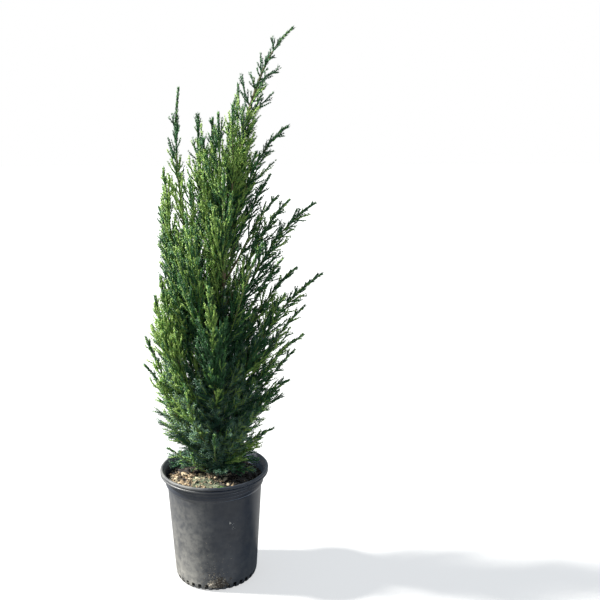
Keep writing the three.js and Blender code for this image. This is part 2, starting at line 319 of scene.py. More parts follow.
class Speckle(ShaderGroup):
    """Mottles one colour with another in soft patches of a given size."""

    NAME = "mottled_colour"
    TAKES = {
        "Base": "Color", "Patch": "Color", "Scale": "Float", "From": "Float", "To": "Float",
        "Place": "Vector",
    }
    GIVES = {"Colour": "Color"}

    @staticmethod
    def filled(nodes: Nodes, taken: Sockets) -> dict:
        """Add the nodes, and return a socket for each output.

        Args:
            nodes: The group's nodes.
            taken: The sockets that it takes.

        Returns:
            What its output is given.
        """
        noise_inputs = {"Vector": taken["Place"], "Scale": taken["Scale"], "Detail": 5.0, "Roughness": 0.6}
        cloud = nodes.add("TexNoise", noise_inputs)["Fac"]
        share = nodes.ranged(cloud, (taken["From"], taken["To"]))
        return {"Colour": nodes.blend(share, taken["Base"], taken["Patch"])}


class Roughcast(ShaderGroup):
    """Turns fine noise into a bumped normal."""

    NAME = "grainy_surface"
    TAKES = {"Scale": "Float", "Depth": "Float", "Place": "Vector"}
    GIVES = {"Normal": "Vector"}

    @staticmethod
    def filled(nodes: Nodes, taken: Sockets) -> dict:
        """Add the nodes, and return a socket for each output.

        Args:
            nodes: The group's nodes.
            taken: The sockets that it takes.

        Returns:
            What its output is given.
        """
        noise_inputs = {"Vector": taken["Place"], "Scale": taken["Scale"], "Detail": 4.0}
        grain = nodes.add("TexNoise", noise_inputs)["Fac"]
        bump = nodes.add("Bump", {"Strength": 0.6, "Distance": taken["Depth"], "Height": grain})
        return {"Normal": bump["Normal"]}


@dataclass(frozen=True)
class Finish:
    """A mottled, grainy surface.

    Args:
        name: The material's name.
        base: Linear base colour.
        patch: Linear colour of its mottling.
        scale: Noise scale of the mottling, per metre.
        roughness: The shader's roughness.
        grain: Noise scale of the bump, per metre, or 0 for none.
        depth: Depth of the bump in metres.
        stretch: How the pattern is scaled along each axis.
        patch_range: The noise values between which the mottling sets in.
        specular: The shader's specular level.
    """

    name: str
    base: Colour
    patch: Colour
    scale: float
    roughness: float
    grain: float = 0.0
    depth: float = 0.0
    stretch: tuple[float, float, float] = (1.0, 1.0, 1.0)
    patch_range: Span = (0.4, 0.65)
    specular: float = 0.5

    @staticmethod
    def mottling(
        nodes: Nodes, place: Socket, base: Colour, patch: Colour, scale: float, span: Span
    ) -> Socket:
        """Mottle one colour with another.

        Args:
            nodes: The tree that the group goes into.
            place: Where the pattern is read.
            base: The linear colour between the patches.
            patch: Their linear colour.
            scale: The noise scale, per metre.
            span: The noise values between which they set in.

        Returns:
            The colour.
        """
        colours = {"Base": (*base, 1.0), "Patch": (*patch, 1.0)}
        pattern = {"Place": place, "Scale": scale, "From": span[0], "To": span[1]}
        return nodes.add("Group", colours | pattern, node_tree=Speckle.group())["Colour"]

    def material(self) -> bpy.types.Material:
        """Make the material.

        Returns:
            A new node material on a Principled shader.
        """
        made = bpy.data.materials.new(self.name)
        made.use_nodes = True
        nodes = Nodes(made.node_tree)
        shader = nodes.tree.nodes["Principled BSDF"]
        plain = nodes.add("TexCoord", {})["Object"]
        place = nodes.add("Mapping", {"Vector": plain, "Scale": self.stretch})["Vector"]
        colour = self.mottling(nodes, place, self.base, self.patch, self.scale, self.patch_range)
        inputs = {"Base Color": colour, "Roughness": self.roughness, "Specular IOR Level": self.specular}
        nodes.feed(shader, inputs)
        if self.grain:
            bump = {"Place": place, "Scale": self.grain, "Depth": self.depth}
            nodes.feed(shader, {"Normal": nodes.add("Group", bump, node_tree=Roughcast.group())["Normal"]})
        return made


class Draws:
    """The seeded generator of the part's source, so that the same shoots grow here."""

    def __init__(self, seed: int) -> None:
        """Start from a seed.

        Args:
            seed: Any whole number.
        """
        self.state = (seed * 7919 + 12345) % 2147483647 or 1
        for _ in range(3):
            self.next()

    def next(self) -> float:
        """Return the next number from 0 to 1."""
        self.state = self.state * 48271 % 2147483647
        return self.state / 2147483647


class Way:
    """A curve in millimetres, read by its share of length."""

    def __init__(self, points: np.ndarray) -> None:
        """Take closely spaced points along the curve.

        Args:
            points: The points, in millimetres.
        """
        self.points = points
        self.reached = np.concatenate([[0.0], np.cumsum(np.linalg.norm(np.diff(points, axis=0), axis=1))])
        self.length = float(self.reached[-1])

    def at(self, shares: np.ndarray) -> np.ndarray:
        """Return the points at shares of the length."""
        lengths = np.asarray(shares) * self.length
        return np.stack([np.interp(lengths, self.reached, self.points[:, k]) for k in range(3)], -1)

    def along(self, shares: np.ndarray) -> np.ndarray:
        """Return the unit tangents at shares of the length."""
        shares = np.asarray(shares)
        return unit(self.at(np.minimum(shares + 0.01, 1.0)) - self.at(np.maximum(shares - 0.01, 0.0)))


def bezier(controls: np.ndarray, steps: np.ndarray) -> np.ndarray:
    """Return the points of a cubic curve at its own steps from 0 to 1.

    Args:
        controls: Its four control points.
        steps: Where along it the points are.

    Returns:
        The points.
    """
    back = 1 - steps
    weights = np.stack([back**3, 3 * steps * back**2, 3 * steps**2 * back, steps**3], -1)
    return weights @ controls


def distance_to_line(points: np.ndarray, line: np.ndarray) -> np.ndarray:
    """Return how far each point is from a line of joined segments.

    Args:
        points: The points, one row each.
        line: The line's own points, in order.

    Returns:
        The distance of each point from the nearest segment.
    """
    starts = line[:-1]
    ways = np.diff(line, axis=0)
    offsets = points[:, None, :] - starts
    shares = np.clip((offsets * ways).sum(-1) / (ways**2).sum(-1), 0, 1)
    return np.linalg.norm(offsets - shares[..., None] * ways, axis=-1).min(1)


@dataclass
class Shoot:
    """A shoot from the trunk to its tip.

    Args:
        name: The name that its CAD nodes carry.
        way: Its curve.
        radius: Its radius at the foot, in millimetres.
        bough: True if its first stretch is a bough of its own.
        seed: What its random draws start from.
    """

    name: str
    way: Way
    radius: float
    bough: bool
    seed: int
    line: np.ndarray = field(init=False)

    def __post_init__(self) -> None:
        """Work out the line that tells whose space a point is in."""
        self.line = self.way.at(np.linspace(0, 1, 15))


@dataclass
class Crown:
    """The sizes of the trunk and its shoots, in millimetres and degrees, and the rule that grows them.

    Args:
        leader_path: The four controls of the curve that the trunk and the leader follow.
        profile: How far the inner shoots reach, in rows of the height and the reach to the left and right.
        outer_tips: The x, y and z of the outer shoots' tips, and how many degrees each leans out there.
        left_edge: How far left the foliage may reach, in rows of the height and the reach.
        rise: How far a shoot rises for each millimetre out, on the left and on the right.
        bow: How far out its curve swings, on the left and on the right.
        lean: How far its tip leans out, on the left and on the right.
    """

    leader_path: tuple = ((2, 0, 163), (12, 3, 480), (38, -4, 760), (123, 0, 819))
    trunk_share: float = 0.66
    foot_radius: float = 8.4
    trunk_radius: float = 4.9
    top_radius: float = 1.25
    flare_height: float = 26.0
    profile: tuple = (
        (190, 54, 60), (232, 66, 90), (300, 86, 117), (350, 96, 127), (400, 86, 138), (474, 70, 140),
        (574, 66, 112), (630, 48, 96), (650, 16, 92), (700, 12, 84),
    )
    outer_tips: tuple = (
        (-37, -14, 736, -9), (-62, -8, 628, 4), (-71, 16, 571, 16), (-11, 26, 703, -4), (16, -30, 702, 2),
        (9, 24, 697, -6), (46, 27, 744, 4), (36, -24, 714, -2), (114, -12, 686, 56), (92, 26, 617, 38),
        (154, -6, 577, 60), (120, 30, 579, 50), (162, -24, 476, 58), (129, 16, 479, 54),
        (142, 22, 419, 50), (136, -12, 382, 60), (126, 16, 352, 48), (114, -16, 314, 60),
        (91, -8, 236, 70), (-70, -34, 478, 8), (-82, 18, 440, 10), (-96, -4, 384, 24),
        (-98, -22, 347, 40), (-70, -12, 212, 60),
    )
    spiral_shoots: int = 29
    lowest_tip: float = 206.0
    highest_tip: float = 690.0
    tallest_tip: float = 743.0
    crowding: float = 1.2
    first_bearing: float = 70.0
    golden_angle: float = 137.508
    reach: float = 0.95
    reach_spread: float = 0.12
    depth_share: float = 0.98
    spiral_seed: int = 100
    rise: Span = (2.6, 1.15)
    bow: Span = (0.68, 0.3)
    lean: Span = (4.0, 46.0)
    least_rise: float = 10.0
    foot_margin: float = 2.0
    rise_with_height: float = 50.0
    lowest_foot: float = 8.0
    feet_spread: float = 150.0
    lift: float = 0.22
    straight_tip: float = 0.38
    shoot_radius: float = 1.15
    radius_per_length: float = 0.0042
    bare_share: float = 0.06
    bough_from: float = 300.0
    apart: float = 6.2
    turn_aside: float = 5.0
    step_down: float = 1.4
    most_steps: int = 30
    clear: float = 0.3
    checked_to: float = 0.5001
    check_step: float = 0.02
    margin: float = 1.9
    rim_inset: float = 4.0
    skirt_from: float = 17.0
    skirt_slope: float = 1.15
    skirt_top: float = 198.0
    skirt_front: float = 0.7
    deepest: float = 96.0
    left_edge: tuple = (
        (180, 60), (212, 73), (286, 90), (347, 99), (384, 97), (415, 87), (440, 83), (450, 74), (478, 71),
        (571, 71), (628, 64), (675, 60), (700, 54), (736, 41), (760, 38),
    )

    def __post_init__(self) -> None:
        """Lay out the leader's curve and the trunk's centre line."""
        self.leader = np.array(self.leader_path, float)
        self.steps = np.linspace(0, 1, 4001)
        self.heights = bezier(self.leader, self.steps)[:, 2]
        self.top = float(bezier(self.leader, np.array(self.trunk_share))[2])
        line = bezier(self.leader, np.linspace(0, 1, 61))
        self.trunk_line = line[line[:, 2] <= self.top]
        self.shoots: list[Shoot] = []

    def leader_at(self, height: float) -> np.ndarray:
        """Return the point of the leader's curve at a height."""
        return bezier(self.leader, np.array(np.interp(height, self.heights, self.steps)))

    def leader_along(self, height: float) -> np.ndarray:
        """Return the leader's unit tangent at a height."""
        return unit(self.leader_at(height + 0.5) - self.leader_at(height - 0.5))

    def trunk_radius_at(self, height: np.ndarray) -> np.ndarray:
        """Return the trunk's radius at heights.

        Args:
            height: The heights.

        Returns:
            The radius at each, with the flare of its foot.
        """
        above = np.asarray(height) - SOIL_LEVEL
        flare = (self.foot_radius - self.trunk_radius) * np.maximum(0, 1 - above / self.flare_height) ** 2
        return flare + mix(self.trunk_radius, self.top_radius, above / (self.top - SOIL_LEVEL))

    def clear_of_trunk(self, way: Way, radius: float) -> bool:
        """Tell if a stem of this radius stands off the trunk everywhere past its foot.

        Args:
            way: The stem's curve.
            radius: The stem's radius.

        Returns:
            True if it is clear.
        """
        points = way.at(np.arange(self.bare_share, self.checked_to, self.check_step))
        gaps = distance_to_line(points, self.trunk_line)
        return bool((gaps >= self.trunk_radius_at(points[:, 2]) + self.clear + radius).all())

    def grow_shoot(self, tip: tuple, number: int, drop: float = 0.0) -> Shoot:
        """Grow a shoot from the trunk to its tip.

        Args:
            tip: Its x, y and z, and how many degrees it leans out there if that is given.
            number: Its place in the order of shoots.
            drop: How far its foot is lowered.

        Returns:
            The shoot.
        """
        end = np.array(tip[:3], float)
        height = end[2]
        share = (height - self.lowest_tip) / (self.tallest_tip - self.lowest_tip)
        abreast = self.leader_at(height)
        aside = math.hypot(end[0] - abreast[0], end[1] - abreast[1])
        rightward = (1 + (end[0] - abreast[0]) / aside) / 2
        rise = aside * mix(*self.rise, rightward) + self.rise_with_height * share + self.least_rise
        lowest = SOIL_LEVEL + self.lowest_foot + self.feet_spread * share
        leave = min(max(lowest, height - rise), height - self.least_rise - self.foot_margin) - drop
        root = self.leader_at(leave)
        side = math.hypot(end[0] - root[0], end[1] - root[1])
        outward = unit(np.array([end[0] - root[0], end[1] - root[1], 0.0]))
        lean = math.radians(tip[3] if len(tip) > 3 else mix(*self.lean, rightward))
        tipward = outward * math.sin(lean) + UP * math.cos(lean)
        length = float(np.linalg.norm(end - root))
        radius = self.shoot_radius + self.radius_per_length * length
        along = self.leader_along(leave)
        facing = unit(outward - along * (outward @ along))
        seat = root + facing * (self.trunk_radius_at(leave) + self.clear)
        turn_up = root + outward * side * mix(*self.bow, rightward) + UP * (height - leave) * self.lift
        straight = end - tipward * self.straight_tip * length
        steps = np.linspace(0, 1, 201)
        way = Way(bezier(np.array([seat, turn_up, straight, end]), steps))
        while not self.clear_of_trunk(way, radius):
            turn_up = turn_up + outward
            way = Way(bezier(np.array([seat, turn_up, straight, end]), steps))
        return Shoot(f"{number + 1:02d}", way, radius, length > self.bough_from, number)

    def spiral_tip(self, number: int, turn: float) -> tuple:
        """Return the tip of an inner shoot, turned aside by some degrees.

        Args:
            number: The shoot's place on the spiral.
            turn: How far it is turned aside.

        Returns:
            The tip's x, y and z.
        """
        climbed = (number / (self.spiral_shoots - 1)) ** self.crowding
        height = mix(self.lowest_tip, self.highest_tip, climbed)
        bearing = math.radians(self.first_bearing + self.golden_angle * number + turn)
        heights, lefts, rights = np.array(self.profile, float).T
        left, right = np.interp(height, heights, lefts), np.interp(height, heights, rights)
        middle, half = (right - left) / 2, (right + left) / 2
        reach = self.reach - self.reach_spread * Draws(self.spiral_seed + number).next()
        across = half * self.depth_share * math.sin(bearing) * reach
        return (middle + half * math.cos(bearing) * reach, across, height)

    def crowded(self, shoot: Shoot) -> bool:
        """Tell if a shoot comes too near one that is already there."""
        return any((distance_to_line(shoot.line, other.line) < self.apart).any() for other in self.shoots)

    def grow(self) -> None:
        """Grow the leader, the outer shoots and the spiral of inner ones."""
        shares = np.linspace(self.trunk_share, 1, 201)
        self.shoots = [Shoot("leader", Way(bezier(self.leader, shares)), self.top_radius, False, 99)]
        self.shoots += [self.grow_shoot(tip, i) for i, tip in enumerate(self.outer_tips)]
        for i in range(self.spiral_shoots):
            for step in range(self.most_steps + 1):
                tip = self.spiral_tip(i, step * self.turn_aside)
                shoot = self.grow_shoot(tip, len(self.outer_tips) + i, step * self.step_down)
                if not self.crowded(shoot):
                    break
            self.shoots.append(shoot)

    def has_room(self, points: np.ndarray) -> np.ndarray:
        """Tell which points are off the trunk, inside the left edge, and above mix, rim and skirt.

        Args:
            points: Where tips would be.

        Returns:
            True for each point that is free.
        """
        away = np.hypot(points[:, 0], points[:, 1])
        ground = np.where(away > COLLAR_RADIUS - self.rim_inset, POT_HEIGHT, SOIL_LEVEL + MOUND_HEIGHT)
        skirt = np.minimum(SOIL_LEVEL + self.skirt_slope * (away - self.skirt_from), self.skirt_top)
        ground = np.maximum(ground, skirt + self.skirt_front * np.maximum(0, -points[:, 1]))
        off_trunk = distance_to_line(points, self.trunk_line) - self.trunk_radius_at(points[:, 2])
        edge = np.interp(points[:, 2], *np.array(self.left_edge, float).T)
        inside = (points[:, 0] >= -edge) & (np.abs(points[:, 1]) <= self.deepest)
        return (points[:, 2] >= ground + self.margin) & (off_trunk >= self.margin) & inside


class Tone(Enum):
    """The greens that sprays are dealt, as linear base colours."""

    DEEP = (0.011, 0.051, 0.017)
    MID = (0.032, 0.118, 0.036)
    FRESH = (0.094, 0.226, 0.048)
    LIME = (0.262, 0.400, 0.090)
    TEAL = (0.034, 0.104, 0.066)
    GLAUCOUS = (0.150, 0.262, 0.185)


TONES = list(Tone)
LIGHTER = np.array([1, 2, 3, 3, 5, 5])
DARKER = np.array([0, 0, 1, 2, 4, 4])


@dataclass
class Axes:
    """Many leafy axes of one kind.

    Args:
        points: Their centre lines in millimetres, as axes by points by three.
        radii: The radius of each at its foot.
        tones: The number of each one's green.
        young: True for each that bears young prickly needles.
        bare: The share of each, from its foot, that bears no needles.
        taper: The share of its radius that each loses towards its tip.
    """

    points: np.ndarray
    radii: np.ndarray
    tones: np.ndarray
    young: np.ndarray
    bare: float
    taper: float = 0.35

    def lengths(self) -> np.ndarray:
        """Return the length of each axis."""
        return np.linalg.norm(np.diff(self.points, axis=1), axis=2).sum(1)

    def only(self, chosen: np.ndarray) -> "Axes":
        """Return the chosen axes."""
        picked = (part[chosen] for part in (self.points, self.radii, self.tones, self.young))
        return Axes(*picked, self.bare, self.taper)

    def places(self, owner: np.ndarray, shares: np.ndarray) -> tuple[np.ndarray, ...]:
        """Find places along the axes.

        Args:
            owner: The number of each place's axis.
            shares: How far along it each place is.

        Returns:
            Each one's point, the axis's direction there, and two unit vectors across it.
        """
        place = np.clip(shares, 0, 0.999) * (self.points.shape[1] - 1)
        piece = place.astype(int)
        start, stop = self.points[owner, piece], self.points[owner, piece + 1]
        along = unit(stop - start)
        return start + (stop - start) * (place - piece)[:, None], along, *frames(along)


def frames(ways: np.ndarray) -> tuple[np.ndarray, np.ndarray]:
    """Return two unit vectors across each way."""
    across = unit(np.cross(ways, np.array([0.31, 0.87, 0.38])))
    return across, np.cross(ways, across)


def towards(first: np.ndarray, second: np.ndarray, angles: np.ndarray) -> np.ndarray:
    """Turn from one unit vector towards another, row by row, by angles in radians."""
    return first * np.cos(angles)[:, None] + second * np.sin(angles)[:, None]


def numbered(counts: np.ndarray) -> tuple[np.ndarray, np.ndarray]:
    """Return the owner of each item, and its number there, from how many each owner has."""
    owner = np.repeat(np.arange(len(counts)), counts)
    return owner, np.arange(len(owner)) - np.repeat(np.cumsum(counts) - counts, counts)


def tapering_stems(axes: Axes, sides: int) -> tuple[np.ndarray, np.ndarray]:
    """Make a pointed stem round every axis.

    Args:
        axes: What to cover.
        sides: How many sides each stem has.

    Returns:
        Corners in millimetres, and triangles.
    """
    points = axes.points
    count, rings = points.shape[0], points.shape[1] - 1
    ways = unit(np.diff(points, axis=1))
    across, side = frames(ways)
    angles = 2 * np.pi * np.arange(sides) / sides
    radii = axes.radii[:, None] * (1 - axes.taper * np.arange(rings) / rings)
    out = across[:, :, None, :] * np.cos(angles)[:, None] + side[:, :, None, :] * np.sin(angles)[:, None]
    ringed = points[:, :-1, None, :] + out * radii[:, :, None, None]
    corners = np.concatenate([ringed.reshape(count, rings * sides, 3), points[:, -1:, :]], axis=1)
    faces = []
    for ring in range(rings - 1):
        for k in range(sides):
            low, nearby = ring * sides + k, ring * sides + (k + 1) % sides
            faces += [(low, nearby, nearby + sides), (low, nearby + sides, low + sides)]
    last = (rings - 1) * sides
    faces += [(last + k, last + (k + 1) % sides, rings * sides) for k in range(sides)]
    faces += [(0, k + 1, k) for k in range(1, sides - 1)]
    each = rings * sides + 1
    triangles = np.array(faces)[None] + (np.arange(count) * each)[:, None, None]
    return corners.reshape(-1, 3), triangles.reshape(-1, 3)


@dataclass(frozen=True)
class NeedleKind:
    """One kind of needle, in millimetres and degrees.

    Args:
        length: How long it is.
        half_width: Half its width at the foot.
        thickness: Its thickness at the foot.
        angle: How far it leans out from its axis.
        spacing: How far apart the whorls are.
        in_whorl: How many stand in each whorl.
        painted_shade_share: The share of an axis, from its foot, where they are a tone darker, as painted
            shade.
        light_from: The share of an axis from which some are a tone lighter.
        sunk: How far out from the axis's middle it starts, as a share of the axis's radius.
        axis_turn: How far the whorls of one axis are turned from the last one's, in radians.
        turn_spread: How unevenly they stand round the axis, in radians.
        angle_spread: How unevenly they lean out.
        stretch: The least and the greatest length, as shares of the length.
        shortening: The share of their length that they lose towards the axis's tip.
        belly: How far along it the needle is thickest.
    """

    length: float
    half_width: float
    thickness: float
    angle: float
    spacing: float
    in_whorl: int
    painted_shade_share: float = 0.45
    light_from: float = 0.72
    sunk: float = 0.7
    axis_turn: float = 2.4
    turn_spread: float = 0.12
    angle_spread: float = 4.0
    stretch: Span = (0.8, 1.15)
    shortening: float = 0.25
    belly: float = 0.2

    def on(self, axes: Axes, rng: np.random.Generator) -> tuple[np.ndarray, np.ndarray]:
        """Set needles along every axis.

        Args:
            axes: What bears them.
            rng: Where the small differences come from.

        Returns:
            Four corners for each needle, as needles by four by three, and each one's green.
        """
        counts = np.maximum(1, (axes.lengths() * (1 - axes.bare) / self.spacing).astype(int))
        owner, whorl = numbered(counts)
        reached = axes.bare + (1 - axes.bare) * (whorl + 0.6) / (counts[owner] + 0.2)
        foot, along, across, side = axes.places(owner, reached)
        out_by = axes.radii[owner] * (1 - axes.taper * reached) * self.sunk
        # Painted shade: needles near an axis's foot, deep inside the spray, take a darker green.
        tones = np.where(reached < self.painted_shade_share, DARKER[axes.tones[owner]], axes.tones[owner])
        tones = np.where((reached > self.light_from) & (owner % 2 == 0), LIGHTER[tones], tones)
        made = []
        for k in range(self.in_whorl):
            turn = whorl * np.pi / self.in_whorl + k * 2 * np.pi / self.in_whorl + owner * self.axis_turn
            out = towards(across, side, turn + rng.normal(0, self.turn_spread, len(owner)))
            lean = np.radians(self.angle + rng.normal(0, self.angle_spread, len(owner)))
            size = self.length * rng.uniform(*self.stretch, len(owner)) * (1 - self.shortening * reached)
            ahead = towards(along, out, lean)
            width = np.cross(along, out)
            reach = ahead * size[:, None]
            seat = foot + out * out_by[:, None]
            edge = width * self.half_width
            under = seat - np.cross(ahead, width) * self.thickness + reach * self.belly
            made.append(np.stack([seat + edge, seat - edge, under, seat + reach], axis=1))
        return np.concatenate(made), np.tile(tones, self.in_whorl)


NEEDLE_FACES = np.array([(0, 2, 3), (2, 1, 3), (1, 0, 3), (0, 1, 2)])


@dataclass
class Habit:
    """How a shoot holds its sprays.

    Args:
        apart: How far apart they stand, in millimetres.
        furthest: How far the furthest one stands out, in millimetres.
        opened: How many degrees they lean out.
        liking: How far their greens are lighter than others.
    """

    apart: float
    furthest: float
    opened: float
    liking: float


@dataclass
class Foliage:
    """Sprays, twigs and needles on every shoot, in millimetres and degrees.

    Args:
        crown: The shoots that bear them.
        painted_light_by_side: Painted light and shade: how much lighter the greens are from left to right,
            in rows of x and the amount.
        painted_light_by_side_high: The same near the top.
        painted_light_by_height: Painted light and shade: how much lighter they are by height, in rows of z
            and the amount.
        patches: Places painted lighter or darker as light and shade: the middle's x and z, half the width
            and height, the amount.
        sky_gaps: Thin places: the middle's x and z, half the width and height, and the share left out.
        low_sprays: Sprays at the trunk's foot: each one's bearing, reach, rise and green.
    """

    crown: Crown
    reach_share: float = 0.14
    shortest: float = 20.0
    longest: float = 36.0
    foot_reach: float = 0.7
    full_from: float = 0.2
    narrowing: float = 1.15
    least_outline: float = 0.13
    # Painted light and shade: sprays take lighter or darker greens by their side of the trunk, the lightest
    # low on the lit left.
    painted_light_by_side: tuple = ((-75.0, 0.36), (-40.0, 0.22), (0.0, 0.06), (40.0, 0.04), (90.0, 0.08))
    painted_light_by_side_high: tuple = (
        (-75.0, -0.12), (-45.0, -0.04), (-25.0, 0.14), (0.0, 0.16), (30.0, 0.02), (60.0, -0.04),
    )
    high_from: Span = (580.0, 660.0)
    # Painted light and shade by height: lighter at the shaded foot, darker at the top.
    painted_light_by_height: tuple = (
        (180.0, 0.2), (270.0, 0.1), (400.0, 0.03), (560.0, 0.06), (640.0, 0.0), (740.0, -0.08),
    )
    # Painted light and shade in listed places of the crown.
    patches: tuple = (
        (14, 440, 32, 62, 0.38), (-26, 420, 30, 110, -0.1), (6, 320, 22, 40, -0.3),
        (26, 605, 38, 66, 0.22), (-8, 690, 26, 40, 0.08), (48, 650, 22, 66, 0.22),
        (-56, 510, 32, 60, -0.2), (-94, 330, 24, 56, -0.25), (-54, 340, 20, 84, 0.16),
        (6, 196, 40, 30, 0.3), (-52, 222, 38, 58, 0.28), (40, 204, 26, 42, 0.42),
    )
    # Painted light: sprays far out from the trunk take lighter greens, as if lit.
    outer_from: float = 75.0
    painted_outer_light: float = 0.16
    chance_light: float = 0.46
    liking_spread: float = 0.04
    tone_steps: tuple[float, ...] = (0.3, 0.47, 0.68)
    old_tones: tuple[Tone, ...] = (Tone.DEEP, Tone.MID, Tone.FRESH, Tone.LIME)
    young_tones: tuple[Tone, ...] = (Tone.TEAL, Tone.TEAL, Tone.GLAUCOUS, Tone.GLAUCOUS)
    shaded_tones: tuple[Tone, ...] = (Tone.DEEP, Tone.MID, Tone.TEAL)
    sunlit_tones: tuple[Tone, ...] = (Tone.FRESH, Tone.LIME, Tone.GLAUCOUS)
    openness: Span = (15.0, 24.0)
    young_openness: float = 31.0
    short_openness: float = 27.0
    angle_spread: float = 3.5
    leader_openness: float = 36.0
    leader_reach: float = 1.5
    leader_closeness: float = 0.78
    leader_light: float = -0.05
    leader_stem: float = 2.0
    fan_closeness: float = 0.9
    fan_shade: float = -0.03
    leaning: Span = (15.0, 55.0)
    long_spray: Span = (0.45, 1.15)
    short_spray: Span = (0.22, 0.5)
    slender: Span = (640.0, 740.0)
    slenderness: float = 0.6
    bushy_from: float = -30.0
    bushiness: float = 0.9
    bush_reach: float = 1.2
    long_steps: Span = (6.0, 9.4)
    short_steps: Span = (4.0, 6.0)
    tip_heights: tuple[float, ...] = (215.0, 340.0, 620.0, 740.0)
    looseness: tuple[float, ...] = (0.5, 1.0, 1.0, 1.7)
    bough_share: float = 0.2
    room_share: float = 0.85
    tip_room: float = 3.0
    tries: int = 12
    drawn_in: float = 0.85
    elbow: Span = (0.5, 0.36)
    spray_radius: float = 1.15
    spray_bare: float = 0.06
    least_spray: float = 5.0
    core_sprays: int = 320
    core_from: float = 0.015
    core_span: float = 0.98
    core_crowding: float = 1.6
    core_reach: Span = (56.0, 18.0)
    core_openness: Span = (66.0, 24.0)
    core_opened_by: float = 0.3
    core_angle_spread: float = 4.0
    core_young_shares: Span = (0.9, 0.1)
    core_light: float = 0.08
    # Their greens are partly painted light and shade: lime and fresh ones at the front right stand for lit
    # tips, and glaucous ones lighten the shaded front foot.
    low_sprays: tuple = (
        (140, 50, 14, Tone.GLAUCOUS), (152, 58, 17, Tone.TEAL), (163, 64, 14, Tone.GLAUCOUS),
        (174, 66, 13, Tone.GLAUCOUS), (186, 62, 10, Tone.TEAL), (199, 48, 8, Tone.GLAUCOUS),
        (248, 22, 5, Tone.TEAL), (266, 28, 4, Tone.TEAL), (278, 32, 6, Tone.GLAUCOUS),
        (290, 34, 4, Tone.TEAL), (302, 40, 7, Tone.GLAUCOUS), (312, 42, 20, Tone.FRESH),
        (318, 50, 7, Tone.DEEP), (326, 50, 18, Tone.LIME), (333, 58, 8, Tone.TEAL),
        (342, 50, 22, Tone.FRESH), (349, 60, 9, Tone.DEEP), (8, 54, 16, Tone.TEAL),
        (168, 80, 104, Tone.FRESH), (176, 82, 88, Tone.TEAL), (185, 78, 80, Tone.GLAUCOUS),
        (194, 66, 64, Tone.TEAL), (359, 94, 112, Tone.DEEP), (4, 98, 130, Tone.MID),
        (347, 90, 124, Tone.DEEP),
    )
    low_foot: float = 8.0
    low_elbow: Span = (0.55, 0.85)
    sky_gaps: tuple = (
        (38, 482, 28, 70, 0.7), (30, 575, 14, 34, 0.5), (37, 667, 12, 22, 0.6), (62, 652, 11, 18, 0.6),
        (-28, 550, 10, 32, 0.45), (66, 450, 18, 26, 0.4), (46, 672, 14, 24, 0.4), (-24, 668, 12, 38, 0.3),
    )
    darker_twigs: float = 0.44
    lighter_twigs: float = 0.16
    lighter_outward: float = 0.3
    twig_from: float = 4.0
    twig_spacing: float = 6.0
    twig_jitter: float = 1.2
    twig_turn: float = 1.9
    twig_angle: float = 18.0
    twig_angle_spread: float = 5.0
    twig_share: float = 0.48
    twig_lengths: Span = (6.0, 28.0)
    twig_stretch: Span = (0.6, 1.25)
    twig_waist: float = 0.55
    twig_bow: float = 0.05
    twig_bare: float = 0.05
    over_rim_from: float = 70.0
    over_rim: float = 177.0
    over_mix: float = 168.0
    old_needle: NeedleKind = NeedleKind(3.6, 0.95, 0.8, 14.0, 3.4, 2)
    twiglet: NeedleKind = NeedleKind(6.6, 0.9, 0.9, 20.0, 11.5, 1)
    tip_twiglet: NeedleKind = NeedleKind(7.4, 1.3, 1.3, 20.0, 2.8, 3, 0.0, 1.0)
    young_needle: NeedleKind = NeedleKind(5.4, 0.65, 0.45, 44.0, 3.0, 3, 0.2)
    young_below: Span = (230.0, 390.0)
    young_shares: Span = (0.85, 0.0)
    green_from: float = 0.3
    green_thickness: float = 0.8
    tips_from: float = 0.78
    tip_thickness: float = 0.5
    bark_thickness: float = 0.9
    stem_taper: float = 0.7
    tip_tones: tuple[int, ...] = (0, 1, 1, 2)
    young_bark: Finish = Finish("young_bark", (0.100, 0.078, 0.040), (0.140, 0.165, 0.052), 60, 0.75)
    seed: int = 700

    def __post_init__(self) -> None:
        """Keep the leader's line, from which a spray's side and distance are told."""
        self.leader_line = bezier(self.crown.leader, self.crown.steps)

    def outline(self, shares: np.ndarray) -> np.ndarray:
        """Return how far sprays stand out at shares of a shoot's leafy part."""
        filling = self.foot_reach + (1 - self.foot_reach) * np.minimum(1, shares / self.full_from)
        return filling * (1 - shares) ** self.narrowing + self.least_outline

    def tones_at(
        self, bases: np.ndarray, young: np.ndarray, liking: float, rng: np.random.Generator
    ) -> np.ndarray:
        """Deal a green to each spray, with painted light and shade by side, height, listed places and how
        far out it stands.

        Args:
            bases: Where the sprays leave their shoot.
            young: True for each that bears young needles.
            liking: How far this shoot's greens are lighter than others.
            rng: Where the differences come from.

        Returns:
            The number of each one's tone.
        """
        columns = self.leader_line[:, :2].T
        middle = np.stack([np.interp(bases[:, 2], self.crown.heights, column) for column in columns])
        out = bases[:, :2] - middle.T
        outer = np.clip(np.hypot(out[:, 0], out[:, 1]) / self.outer_from, 0, 1)
        low_side = np.interp(out[:, 0], *np.array(self.painted_light_by_side).T)
        high_side = np.interp(out[:, 0], *np.array(self.painted_light_by_side_high).T)
        by_side = mix(low_side, high_side, np.interp(bases[:, 2], self.high_from, (0.0, 1.0)))
        # Painted light and shade by height and in listed places.
        by_height = np.interp(bases[:, 2], *np.array(self.painted_light_by_height).T)
        for x, z, half_width, half_height, lift in self.patches:
            near = ((bases[:, 0] - x) / half_width) ** 2 + ((bases[:, 2] - z) / half_height) ** 2
            by_height += lift * np.maximum(0, 1 - near**2)
